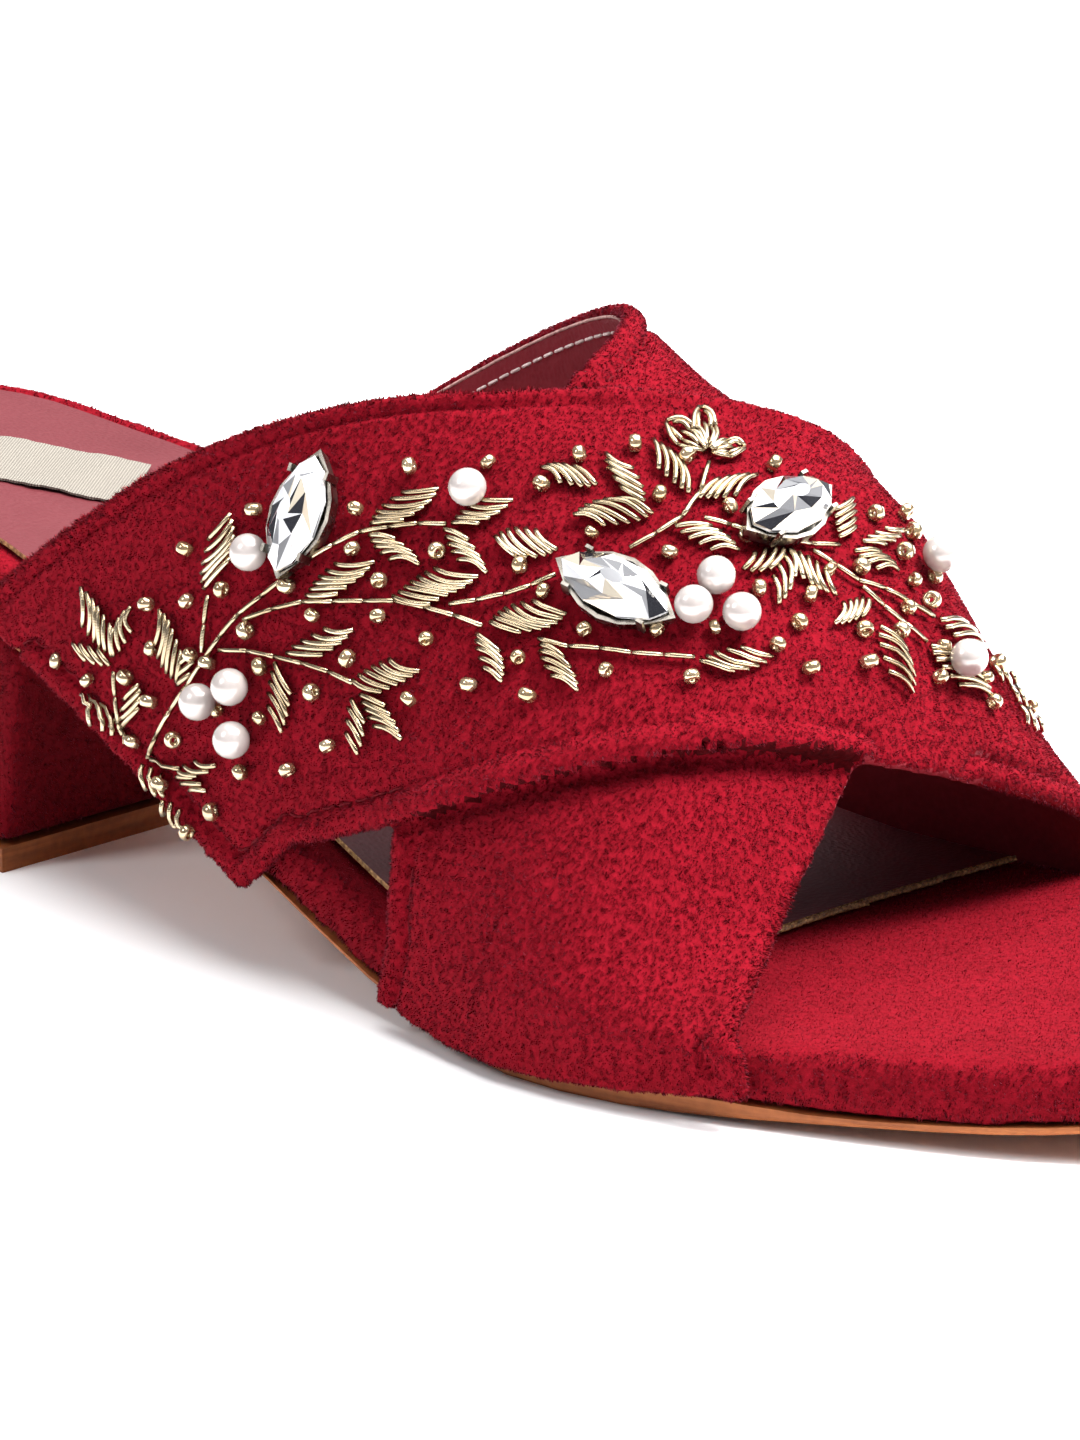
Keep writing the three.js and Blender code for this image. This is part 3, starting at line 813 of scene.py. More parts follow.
beyond = np.array([sock_tree.find_nearest(Vector(p))[3] for p in bed_spots])
roll = ease(beyond, ROLL_GAP, ROLL_CLIMB) * ease(bed_facing[:, 2], LEVEL_FROM, LEVEL_SPAN)
roll *= ease(ROLL_FRONT - bed_spots[:, 0], 0, ROLL_FADE) * (bed_spots[:, 1] > 0) * ~under_sock(bed_spots)
bed_spots[:, 2] += BED_ROLL * roll
move_points(footbed.data, bed_spots)
give(footbed, bed_skin)
seat(footbed, "velvet", "footbed")
print("footbed faces:", len(footbed.data.polygons))

# %% Heel skin
heel = copy_node("heel_block", "velvet_heel")
even_skin(heel, BED_VOXEL, rounds=4)
move_points(heel.data, points_of(heel.data) - normals_of(heel.data) * PILE_ROOM)
# The heel takes the darker ground, which carries painted shade.
give(heel, painted_shade_heel_skin)
seat(heel, "velvet", "heel_block")
print("heel faces:", len(heel.data.polygons))

# %% [markdown]
# ## The pile
# A hair system would be quick to set up, but hair doesn't come along as a mesh. So the pile is made from
# arrays. Roots are scattered over a skin by area and thinned to one for each small cell of space, which
# spaces them evenly. Each root carries a tuft: slim triangles whose tips draw together, so that a tuft
# stands as a small knob with a dark pit beside it. Their shading normals bend outwards from the tuft's
# middle, which rounds the knob, and they lean with the nap.

# %% Scattered roots
ROOTS_TRIED = 6


def face_table(mesh):
    """Corners, corner normals and areas of a mesh's triangles."""
    mesh.calc_loop_triangles()
    corners = np.empty(len(mesh.loop_triangles) * 3, np.int32)
    mesh.loop_triangles.foreach_get("vertices", corners)
    corners = corners.reshape(-1, 3)
    polygons = np.empty(len(mesh.loop_triangles), np.int32)
    mesh.loop_triangles.foreach_get("polygon_index", polygons)
    spots = points_of(mesh)[corners]
    areas = np.linalg.norm(np.cross(spots[:, 1] - spots[:, 0], spots[:, 2] - spots[:, 0]), axis=1) / 2
    return spots, normals_of(mesh)[corners], areas, polygons


def scatter(skin, keep, cell, chance):
    """Evenly spaced points on the kept faces of a skin, with their normals."""
    spots, spot_normals, areas, polygons = face_table(skin.data)
    steps = np.cumsum(areas * keep[polygons])
    count = int(ROOTS_TRIED * steps[-1] / cell**2)
    chosen = np.searchsorted(steps, chance.random(count) * steps[-1])
    a, b = chance.random((2, count))
    fold = a + b > 1
    a, b = np.where(fold, 1 - a, a), np.where(fold, 1 - b, b)
    shares = np.column_stack([1 - a - b, a, b])[:, :, None]
    roots = (spots[chosen] * shares).sum(1)
    first = np.unique(np.floor(roots / cell).astype(int), axis=0, return_index=True)[1]
    return roots[first], unit((spot_normals[chosen] * shares).sum(1))[first], steps[-1]


print("roots can be scattered")

# %% [markdown]
# A tuft's fibres start round its root. The tips lean with the nap, swirl a little from tuft to tuft and
# stray a little from fibre to fibre. Each tuft and each fibre has its own shade, which goes into the map.

# %% Pile from arrays
PILE_WIDTH = 0.15 * MM
ROOT_SINK = 0.12 * MM
TUFT_LONG = 0.66
TUFT_WIDE = 0.52
TUFT_ROUND = 0.78
TUFT_FIBRES = 10
TUFT_SHADE = 0.095
FIBRE_SHADE = 0.06
FIBRE_STRAY = 0.12
GATHER = 0.72
NAP = np.array([0.35, 0, -1.0])
NAP_SWIRL = 0.5
LEANS = (0.6, 1.3)
TUFT_SIZES = (0.85, 1.12)
FIBRE_SIZES = (0.85, 1.1)
FIBRE_BEND = 0.15
SHADE_BORDER = 0.04
MAP_BORDER = 0.03
MAP_HALF = 0.02


def add_triangles(name, points, chart, normals):
    """A mesh of loose triangles, three points each, with the map and normals that they shade with."""
    mesh = bpy.data.meshes.new(name)
    mesh.from_pydata(points, [], np.arange(len(points)).reshape(-1, 3))
    draw_map(mesh, chart)
    mesh.shade_smooth()
    mesh.normals_split_custom_set_from_vertices(normals)
    return link_piece(name, mesh)


def grow_pile(name, skin, keep, cell, tall, lean, seed, each=TUFT_FIBRES, loose=1.0, finish=velvet_pile):
    """Tufts of fibres on the kept faces of a skin, one for each cell of space."""
    chance = np.random.default_rng(seed)
    roots, out, area = scatter(skin, keep, cell, chance)
    tufts = len(roots)
    nap = unit(NAP - out * (out @ NAP)[:, None] + 1e-6)
    across = np.cross(out, nap)
    swirl = chance.normal(0, NAP_SWIRL, (tufts, 1))
    nap, across = nap * np.cos(swirl) + across * np.sin(swirl), across * np.cos(swirl) - nap * np.sin(swirl)
    tuft_lean = nap * (lean * chance.uniform(*LEANS, tufts))[:, None]
    shade = np.clip(chance.normal(0.5, TUFT_SHADE, tufts), SHADE_BORDER, 1 - SHADE_BORDER)
    size = chance.uniform(*TUFT_SIZES, tufts)

    def spread(values):
        return np.repeat(values, each, axis=0)

    count = tufts * each
    angle = chance.uniform(0, 2 * np.pi, (count, 1))
    aside = spread(nap) * np.cos(angle) * TUFT_LONG + spread(across) * np.sin(angle) * TUFT_WIDE
    aside *= loose * np.sqrt(chance.random((count, 1)))
    base = spread(roots) + aside * cell - spread(out) * ROOT_SINK
    reach = tall * spread(size) * chance.uniform(*FIBRE_SIZES, count)
    way = unit(spread(out) + spread(tuft_lean) + chance.normal(0, FIBRE_STRAY, (count, 3)))
    tip = base + way * reach[:, None] - aside * cell * (1 - GATHER)
    turn = unit(np.cross(way, chance.normal(0, 1, (count, 3)))) * PILE_WIDTH / 2
    points = np.stack([base - turn, base + turn, tip], axis=1).reshape(-1, 3)
    tone = np.clip(spread(shade) + chance.normal(0, FIBRE_SHADE, count), MAP_BORDER, 1 - MAP_BORDER)
    corners = ((-MAP_HALF, 0), (MAP_HALF, 0), (0, 1))
    chart = np.stack([np.column_stack([tone + u, np.full(count, v)]) for u, v in corners], axis=1)
    soft = unit(spread(out) + TUFT_ROUND * aside + FIBRE_BEND * way)
    piece = add_triangles(name, points, chart.reshape(-1, 2), np.repeat(soft, 3, axis=0))
    give(piece, finish)
    seat(piece, "velvet")
    print(name, "tufts:", tufts, "fibres:", count, "skin area mm2:", round(area / MM**2))
    return piece


print("pile can be grown")

# %% [markdown]
# The upper's pile comes in three lengths of the shoe, so that no piece grows too large. It is thin in the
# stitched troughs and stays off the lining and off the painted shade under the top strap's edge. On the
# rims that aren't sewn down a fringe of longer, looser fibres stands among it, brighter in colour: a painted
# highlight.

# %% Pile of the upper
UPPER_CELL = 0.66 * MM
UPPER_PILE = 0.42 * MM
UPPER_LEAN = 0.4
SEWN_DOWN = 0.9
THIN_HALF = 0.4 * MM
THINNED = 0.95
FRINGE_WIDTH = 1.2 * MM

stitched = (face_facing > 0) & (face_behind > 0.5) & (face_over < 0.5) & (face_sewn > SEWN_DOWN)
in_trough = hump(face_rim - HEM_WIDTH, THIN_HALF) * stitched
velvety = ((face_facing > INNER_SIDE) | (face_rim < LINING_STARTS)) & ~lip_painted_shade
covered = np.where(velvety, 1 - THINNED * in_trough, 0)
thirds = np.quantile(face_points[covered > 0, 0], [0.3333, 0.6667])
zones = np.searchsorted(thirds, face_points[:, 0], side="right")
for zone, (part, seed) in enumerate((("back", 11), ("middle", 12), ("front", 13))):
    kept = covered * (zones == zone)
    grow_pile("pile_upper_" + part, upper, kept, UPPER_CELL, UPPER_PILE, UPPER_LEAN, seed)
fringe = (face_rim < FRINGE_WIDTH) & (face_facing > INNER_SIDE) & (face_sewn < SEWN_DOWN) & off_step
grow_pile(
    "pile_rims", upper, fringe, cell=0.8 * MM, tall=0.7 * MM, lean=0.3, seed=17, each=6, loose=1.3,
    finish=painted_highlight_rim_pile,
)

# %% [markdown]
# The footbed carries pile where nothing covers it: not under the sock, and not on its underside. On its top
# feet have pressed the pile flat; round the edge it still stands.

# %% Pile of footbed and heel
TOP_FACING = 0.85
SIDE_FACING = -0.7
HEEL_FACING = 0.8

bed_points, bed_normals = face_rows(footbed.data)
bed_top = (bed_normals[:, 2] > TOP_FACING) & ~under_sock(bed_points)
bed_edge = (bed_normals[:, 2] > SIDE_FACING) & (bed_normals[:, 2] <= TOP_FACING)
grow_pile(
    "pile_footbed", footbed, bed_top, cell=0.75 * MM, tall=0.36 * MM, lean=0.7, seed=14, each=6, loose=1.5,
    finish=bed_pile,
)
grow_pile(
    "pile_footbed_edge", footbed, bed_edge, cell=0.85 * MM, tall=0.55 * MM, lean=0.3, seed=16, loose=1.2
)
heel_sides = np.abs(face_rows(heel.data)[1][:, 2]) < HEEL_FACING
# The heel's pile has painted shade in its tones.
grow_pile(
    "pile_heel", heel, heel_sides, cell=0.95 * MM, tall=0.45 * MM, lean=0.5, seed=15, each=9, loose=1.2,
    finish=painted_shade_heel_pile,
)

# %% [markdown]
# ## Sock, cord and label
# The sock is a thin leather sheet glued on the footbed, its cut edge tan. Its faces keep the solid's form:
# a copy gets the leather on top and the tan finish on its sides.

# %% Sock
STEEP = 0.6
SHARP = 35

sock = copy_node("sock", "leather_sock")
give(sock, sock_leather, tan_edge)
steep = [abs(f.normal.z) < STEEP for f in sock.data.polygons]
sock.data.polygons.foreach_set("material_index", np.array(steep, np.int32))
shade_edges(sock, SHARP)
seat(sock, "sock_leather", "sock")
print("sock faces:", len(sock.data.polygons))

# %% [markdown]
# The sock's front edge has a fine cord laid over it. A cord is strands twisted round one line: the line is
# read from the solid, slice by slice across the shoe, and each strand is a tube that winds round it.

# %% Tubes along lines
MAP_LENGTH = 100 * MM
NEARLY_UP = 0.9
CAP_CHART = [(0, 0), (0.1, 0), (0.05, 0.1)]


def tube_arrays(line, radius, sides):
    """Points, quads and map of a closed tube along a line, its frame carried along without twist."""
    line = np.asarray(line, float)
    run = unit(np.gradient(line, axis=0))
    side = np.cross(run[0], [0, 0, 1.0]) if abs(run[0][2]) < NEARLY_UP else np.cross(run[0], [1.0, 0, 0])
    frames = []
    for direction in run:
        side = side - direction * (side @ direction)
        side = side / np.linalg.norm(side)
        frames.append((side, np.cross(direction, side)))
    angles = np.arange(sides) * 2 * np.pi / sides
    radii = np.broadcast_to(radius, len(line))
    rings = [
        centre + r * (np.cos(angles)[:, None] * u + np.sin(angles)[:, None] * v)
        for centre, r, (u, v) in zip(line, radii, frames)
    ]
    points = np.vstack(rings + [line[:1], line[-1:]])
    faces, charts = [], []
    along = lengths_along(line)
    along /= max(MAP_LENGTH, along[-1])
    for i in range(len(line) - 1):
        for j in range(sides):
            k = (j + 1) % sides
            faces.append((i * sides + j, i * sides + k, (i + 1) * sides + k, (i + 1) * sides + j))
            u0, u1 = j / sides, (j + 1) / sides
            charts.append([(u0, along[i]), (u1, along[i]), (u1, along[i + 1]), (u0, along[i + 1])])
    last = (len(line) - 1) * sides
    for j in range(sides):
        k = (j + 1) % sides
        faces += [(k, j, len(line) * sides), (last + j, last + k, len(line) * sides + 1)]
        charts += [CAP_CHART, CAP_CHART]
    return points, faces, charts


def join_tubes(name, tubes, material, slot, *nodes):
    """One mesh piece from many tubes."""
    points, faces, charts = [], [], []
    for tube_points, tube_faces, tube_charts in tubes:
        start = len(points)
        points.extend(tube_points)
        faces.extend([tuple(start + i for i in face) for face in tube_faces])
        charts.extend(corner for chart in tube_charts for corner in chart)
    mesh = bpy.data.meshes.new(name)
    mesh.from_pydata(points, [], faces)
    draw_map(mesh, charts)
    mesh.shade_smooth()
    piece = give(link_piece(name, mesh), material)
    seat(piece, slot, *nodes)
    print(name, "tubes:", len(tubes), "faces:", len(faces))
    return piece


# %% Cord
CORD_SLICES = 24
SLICE_SLACK = 1e-6
CORD_STEPS = 180
CORD_STRANDS = 3
CORD_LAY = 1.6 * MM
STRAND_RADIUS = 0.2 * MM

cord_points = points_of(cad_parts["sock_cord"].data)
across = cord_points[:, 1]
edges = np.linspace(across.min(), across.max(), CORD_SLICES + 1)
slices = [
    cord_points[(across >= a - SLICE_SLACK) & (across <= b + SLICE_SLACK)] for a, b in zip(edges, edges[1:])
]
middles = np.array([(s.min(0) + s.max(0)) / 2 for s in slices if len(s)])
stops = np.linspace(across.min(), across.max(), CORD_STEPS)
cord_line = np.column_stack([np.interp(stops, middles[:, 1], middles[:, i]) for i in range(3)])
cord_line[:, 1] = stops
strands = []
for strand in range(CORD_STRANDS):
    angle = 2 * np.pi * (lengths_along(cord_line) / CORD_LAY + strand / CORD_STRANDS)
    ring = np.column_stack([np.cos(angle), np.zeros(len(angle)), np.sin(angle)]) * STRAND_RADIUS
    strands.append(tube_arrays(cord_line + ring, STRAND_RADIUS, 6))
join_tubes("edge_cord", strands, tan_edge, "gold_cord", "sock_cord")
print("cord length mm:", round(lengths_along(cord_line)[-1] / MM, 1))

# %% [markdown]
# The label is a short length of plain ribbed ribbon. Its map runs along it, so that the ribs of its finish
# cross it squarely wherever it lies. Its edges are a little uneven, and it lies in slight waves.

# %% Label
# Waves of the uneven edge: radians for a millimetre, start and height in mm.
FRAY = [(1.1, 0, 0.16), (2.7, 1, 0.1)]
RIPPLE = 0.09 * MM
RIPPLE_PACE = (0.55, 0.2)
TOP_ABOVE = 0.4 * MM
TOP_SINK = 0.2 * MM

label = copy_node("label", "ribbon_label")
label_points = points_of(label.data)
centre = label_points.mean(0)
spread_axes = np.linalg.svd(label_points[:, :2] - centre[:2], full_matrices=False)[2]
apply_step(label, "SUBSURF", subdivision_type="SIMPLE", levels=3, render_levels=3)
label_points = points_of(label.data)
along = (label_points[:, :2] - centre[:2]) @ spread_axes[0]
aside = (label_points[:, :2] - centre[:2]) @ spread_axes[1]
LABEL_LENGTH, LABEL_WIDTH = np.ptp(along), np.ptp(aside)
chart = np.column_stack([along, aside])[corners_of(label.data)] / LABEL_LENGTH + 0.5
fray = sum(np.sin(along / MM * pace + start) * height for pace, start, height in FRAY)
ripple = np.sin(along / MM * RIPPLE_PACE[0] + aside / MM * RIPPLE_PACE[1]) * RIPPLE
label_points[:, :2] += (fray * aside / LABEL_WIDTH * 2)[:, None] * spread_axes[1] * MM
on_top = np.array([sock_tree.find_nearest(Vector(p))[3] for p in label_points]) > TOP_ABOVE
label_points[:, 2] += ripple + RIPPLE - TOP_SINK * on_top
move_points(label.data, label_points)
for old in list(label.data.uv_layers):
    label.data.uv_layers.remove(old)
draw_map(label.data, chart)
give(label, ribbon_weave)
shade_edges(label, SHARP)
seat(label, "ribbon", "label")
print("label faces:", len(label.data.polygons))

# %% [markdown]
# ## Seams along the rims
# Pale stitches run inside each strap beside its rim, and dark red ones lie at the bottom of the trough
# outside. On rims that face up, the cut edge of the lining shows as a thin pale line where the velvet is
# turned in. All three follow the rim at a fixed distance. That distance is known for every point of the
# skin, so the seam is a contour line of it: the places where mesh edges cross the wanted distance, chained
# from face to face.

# %% Contour lines of the rim distance
SHORTEST_CHAIN = 16
LINE_STEP = 0.5 * MM
LINE_SMOOTH = 6


def contour(mesh, values, level, keep):
    """Lines on the kept faces of a mesh of quads where a value of its points crosses a level."""
    spots = points_of(mesh)
    above = (values > level)[corners_of(mesh).reshape(-1, 4)]
    links, places = {}, {}
    for index in np.flatnonzero(keep & above.any(1) & ~above.all(1)):
        cut = []
        for a, b in mesh.polygons[index].edge_keys:
            if (values[a] > level) != (values[b] > level):
                share = (level - values[a]) / (values[b] - values[a])
                places[a, b] = spots[a] + (spots[b] - spots[a]) * share
                cut.append((a, b))
        if len(cut) == 2:
            links.setdefault(cut[0], []).append(cut[1])
            links.setdefault(cut[1], []).append(cut[0])
    lines, used = [], set()
    for start in sorted(links, key=lambda key: len(links[key])):
        chain = []
        ahead = [start] if start not in used else []
        while ahead:
            chain.append(ahead[0])
            used.add(ahead[0])
            ahead = [key for key in links[chain[-1]] if key not in used]
        if len(chain) > SHORTEST_CHAIN:
            lines.append(even_line(np.array([places[key] for key in chain]), LINE_STEP))
    return lines


def even_line(line, step):
    """A smoothed copy of a line with points at even steps."""
    for _ in range(LINE_SMOOTH):
        line[1:-1] = (line[:-2] + 2 * line[1:-1] + line[2:]) / 4
    whole = lengths_along(line)[-1]
    return line_at(line, np.linspace(0, whole, max(4, int(whole / step))))


print("contours can be drawn")

# %% Stitches and cut edge
LINING_SEAM = 3.1 * MM
CUT_EDGE_FACING = 0.2
CUT_EDGE_IN = 0.2 * MM
CUT_EDGE_RADIUS = 0.2 * MM
CUT_EDGE_RISE = 0.02 * MM
STITCH_STOPS = np.array([0, 0.15, 0.5, 0.85, 1])
STITCH_RISES = np.array([-1, 0.5, 0.8, 0.5, -1])


def laid_on_upper(line, rises):
    """The line's points put on the skin, each raised by its own height."""
    laid = []
    for point, rise in zip(line, rises):
        spot, normal, _, _ = upper_tree.find_nearest(Vector(point))
        laid.append(spot + normal * rise)
    return np.array(laid)


def stitch_rows(lines, length, gap, radius):
    """Short lengths of thread along lines, both ends dipping in."""
    for line in lines:
        for start in np.arange(gap, lengths_along(line)[-1] - length, length + gap):
            stitch = line_at(line, start + length * STITCH_STOPS)
            yield tube_arrays(laid_on_upper(stitch, radius * STITCH_RISES), radius, 6)


seam = contour(upper.data, to_rim, LINING_SEAM, inner)
rows = list(stitch_rows(seam, length=1.8 * MM, gap=0.5 * MM, radius=0.2 * MM))
join_tubes("lining_stitches", rows, pale_thread, "ribbon")
seam = contour(upper.data, to_rim, HEM_WIDTH, stitched)
rows = list(stitch_rows(seam, length=2.3 * MM, gap=0.5 * MM, radius=0.17 * MM))
join_tubes("hem_stitches", rows, red_thread, "velvet")
face_rises = np.array([free[free_rims.find(Vector(p))[1]][1].z for p in face_points])
fold = contour(upper.data, to_rim, LINING_STARTS + CUT_EDGE_IN, inner & (face_rises > CUT_EDGE_FACING))
raised = [laid_on_upper(line, np.full(len(line), CUT_EDGE_RISE)) for line in fold]
join_tubes("lining_edge", [tube_arrays(line, CUT_EDGE_RADIUS, 6) for line in raised], raw_edge, "ribbon")

# %% [markdown]
# ## Outsole and heel top piece
# Both are cut from tan sole leather. Their solids are right, so they keep them and only get their finish.

# %% Outsole and top piece
for node in ("outsole", "heel_top_piece"):
    give(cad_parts[node], sole_edge)
print("soles finished")

# %% [markdown]
# ## Pearls
# A pearl is a drilled glass bead sewn through its hole. One bead is modelled as by hand: a sphere whose
# pole is inset and pushed in to make the mouth of the hole, then smoothed. Each pearl is a copy with its
# own mesh.

# %% Pearls
PEARL_HOLE = 0.3 * MM
HOLE_DEPTH = 0.35 * MM
AT_POLE = 0.9999


def model_pearl(radius):
    """A sphere with the mouth of a thread hole at both poles."""
    bpy.ops.object.select_all(action="DESELECT")
    bpy.ops.mesh.primitive_uv_sphere_add(segments=32, ring_count=20, radius=radius, location=(0, 0, 0))
    bead = bpy.context.object
    bpy.ops.object.mode_set(mode="EDIT")
    bpy.ops.mesh.select_all(action="DESELECT")
    bpy.ops.object.mode_set(mode="OBJECT")
    for vertex in bead.data.vertices:
        vertex.select = abs(vertex.co.z) > radius * AT_POLE
    bpy.ops.object.mode_set(mode="EDIT")
    bpy.ops.mesh.select_mode(type="VERT")
    bpy.ops.mesh.bevel(offset=PEARL_HOLE, segments=1, affect="VERTICES")
    bpy.ops.object.mode_set(mode="OBJECT")
    for face in bead.data.polygons:
        face.select = abs(face.normal.z) > AT_POLE
    bpy.ops.object.mode_set(mode="EDIT")
    bpy.ops.mesh.select_mode(type="FACE")
    bpy.ops.mesh.extrude_faces_move(TRANSFORM_OT_shrink_fatten={"value": -HOLE_DEPTH})
    bpy.ops.object.mode_set(mode="OBJECT")
    shade_edges(bead, 40)
    return bead


def turned(mesh, place, axis):
    """Points of a mesh stood along an axis and put in place."""
    turn = Vector((0, 0, 1)).rotation_difference(Vector(axis)).to_matrix().to_4x4()
    turn.translation = place
    mesh.transform(turn)
    mesh.update()


pearl_nodes = sorted(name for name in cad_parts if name.startswith("pearl_"))
low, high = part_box(pearl_nodes[0])
master = model_pearl((high.z - low.z) / 2)
for node in pearl_nodes:
    low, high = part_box(node)
    middle = (low + high) / 2
    _, normal, _, _ = upper_tree.find_nearest(middle)
    pearl = link_piece("bead_" + node, master.data.copy())
    turned(pearl.data, middle, normal.cross(back))
    give(pearl, pearl_coat)
    seat(pearl, "pearl", node)
bpy.data.objects.remove(master)
print("pearls:", len(pearl_nodes))

# %% [markdown]
# ## Stones
# A navette is a pointed oval cut with facets all round: a small table, rings of crown facets, a thin girdle
# and a pavilion below. Rings of points are bridged into facets, flat shaded, and stood where the solid is:
# its longest, middle and shortest spread give the stone's own axes.

# %% Stones
STONE_SIDES = 10
STONE_BELOW = 1.2
STONE_POINT = 1.35
STONE_PAINTED_REFLECTIONS = {0.0: 0.26, 0.3: 0.26, 0.65: 0.16, 1.0: 0.32}
STONE_RINGS = [
    # size share, height in mm, part of a step that the ring is turned
    (0.0, -STONE_BELOW, 0.0), (1.0, 0.0, 0.0), (1.0, 0.4, 0.0), (0.62, 2.1, 0.5), (0.22, 2.8, 0.0),
]


def navette_ring(half, bulge, share, height, shift):
    """Points of a pointed oval, smaller by a share and turned by part of a step."""
    ring = []
    for i in range(STONE_SIDES):
        t = 2 * math.pi * (i + shift) / STONE_SIDES
        wide = math.copysign(abs(math.sin(t)) ** STONE_POINT, math.sin(t))
        ring.append((half * share * math.cos(t), bulge * share * wide, height * MM))
    return ring


def facets(rings):
    """Triangles between turned rings, with a point or a flat at each end."""
    faces = []
    for i in range(len(rings) - 1):
        for j in range(STONE_SIDES):
            a, b = i * STONE_SIDES + j, i * STONE_SIDES + (j + 1) % STONE_SIDES
            c, d = a + STONE_SIDES, b + STONE_SIDES
            even = STONE_RINGS[i][2] <= STONE_RINGS[i + 1][2]
            faces += [(a, b, d), (a, d, c)] if even else [(a, b, c), (b, d, c)]
    top = (len(rings) - 1) * STONE_SIDES
    faces.append(tuple(top + j for j in range(STONE_SIDES)))
    return faces


def axes_of(points):
    """Centre and longest, middle and shortest axes of a cloud of points."""
    middle = (points.min(0) + points.max(0)) / 2
    return middle, np.linalg.svd(points - points.mean(0), full_matrices=False)[2]


chance = np.random.default_rng(41)
for node in ("crystal_1", "crystal_2", "crystal_3"):
    solid = copy_node(node, "measure_" + node)
    cloud = points_of(solid.data)
    bpy.data.objects.remove(solid)
    middle, axes = axes_of(cloud)
    _, normal, _, _ = upper_tree.find_nearest(Vector(middle))
    long_way = axes[0]
    out = axes[2] if axes[2] @ np.array(normal) > 0 else -axes[2]
    wide_way = np.cross(out, long_way)
    inside = (cloud - middle) @ np.array([long_way, wide_way, out]).T
    half, bulge = np.abs(inside[:, 0]).max(), np.abs(inside[:, 1]).max()
    girdle = middle + out * inside[:, 2].min() + out * STONE_BELOW * MM
    rings = [navette_ring(half, bulge, *ring) for ring in STONE_RINGS]
    local = np.array([point for ring in rings for point in ring])
    placed = girdle + local @ np.array([long_way, wide_way, out])
    mesh = bpy.data.meshes.new("cut_" + node)
    mesh.from_pydata(placed, [], facets(rings))
    stone = give(link_piece("cut_" + node, mesh), stone_foil)
    merge(stone, face_out=True)
    # Each facet gets a painted reflection: dark, grey, cream or white.
    shine = chance.choice(list(STONE_PAINTED_REFLECTIONS), len(mesh.polygons), p=list(STONE_PAINTED_REFLECTIONS.values()))
    mesh.attributes.new("shine", "FLOAT", "FACE").data.foreach_set("value", shine.astype(np.float32))
    seat(stone, "crystal", node)
for node in ("setting_1", "setting_2", "setting_3"):
    give(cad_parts[node], setting_metal)
print("stones cut")

# %% [markdown]
# ## Embroidery
# Stems and leaves are laid in purl: short lengths of coiled wire threaded on a stitch. A stem is a chain of
# such lengths, and a leaf a slanting row of them. The chart below gives where they lie as pixels of the
# photo's frame; a ray from the camera through each pixel finds its place on the strap, so every length of
# wire follows the velvet's curve.

# %% Chart of the embroidery
STEMS = [
    [(151, 763), (165, 725), (179, 705), (207, 663), (214, 653), (234, 622), (255, 605), (286, 581),
     (303, 566), (331, 549), (365, 533), (417, 526), (450, 527)],
    [(129, 746), (121, 705), (119, 670)],
    [(207, 653), (209, 625), (213, 595)],
    [(248, 620), (269, 612), (300, 603), (344, 603), (399, 603), (440, 612), (486, 628)],
    [(224, 650), (255, 651), (293, 660), (324, 668), (358, 684)],
    [(153, 763), (186, 768)],
    [(707, 466), (705, 487), (691, 507), (678, 524), (657, 536), (629, 552)],
    [(702, 521), (733, 530), (764, 540), (795, 547), (836, 549)],
    [(809, 554), (833, 569), (850, 583), (884, 593), (929, 619)],
    [(858, 590), (871, 601), (895, 622), (922, 644)],
    [(540, 641), (574, 650), (602, 651), (636, 656), (695, 660)],
    [(452, 607), (497, 600), (530, 590), (558, 577)],
]
# Each leaf runs from its base to its tip, and its wires are turned from that line by some degrees.
LEAVES = [
    (117, 667, 77, 641, 12), (117, 660, 86, 586, 10), (120, 656, 136, 605, -10), (126, 739, 83, 696, 8),
    (127, 725, 146, 682, 12), (181, 686, 165, 608, 17), (181, 686, 200, 651, 5), (208, 590, 238, 511, 12),
    (306, 597, 379, 564, 22), (393, 598, 482, 580, 23), (291, 653, 362, 632, 18), (279, 662, 289, 736, -15),
    (355, 680, 425, 674, 28), (362, 694, 408, 741, -20), (355, 698, 365, 758, -15), (370, 526, 444, 492, 20),
    (370, 537, 424, 567, -20), (451, 526, 516, 504, 12), (444, 531, 491, 576, -14), (496, 537, 561, 555, 28),
    (489, 622, 571, 618, 24), (540, 646, 581, 694, -16), (479, 636, 508, 686, -22), (598, 490, 540, 469, 14),
    (647, 507, 605, 457, -18), (654, 518, 571, 516, 18), (688, 500, 652, 442, 13), (695, 505, 755, 478, -21),
    (674, 530, 741, 554, -12), (781, 552, 740, 576, -26), (786, 552, 776, 609, -18), (788, 552, 833, 602, 14),
    (833, 542, 850, 502, 34), (857, 545, 902, 535, 20), (850, 555, 896, 573, -12), (865, 600, 831, 628, -30),
    (874, 629, 910, 696, -12), (924, 648, 989, 698, -14), (933, 622, 984, 650, -12), (698, 663, 772, 661, 18),
    (182, 770, 222, 765, 10), (180, 776, 214, 790, -18), (146, 766, 170, 798, 12), (168, 797, 190, 830, 8),
    (988, 668, 1010, 688, 14), (1004, 688, 1028, 712, 14), (1014, 708, 1038, 736, 10),
]
PETALS = [(707, 456, 698, 411), (705, 456, 664, 426), (709, 457, 743, 452)]
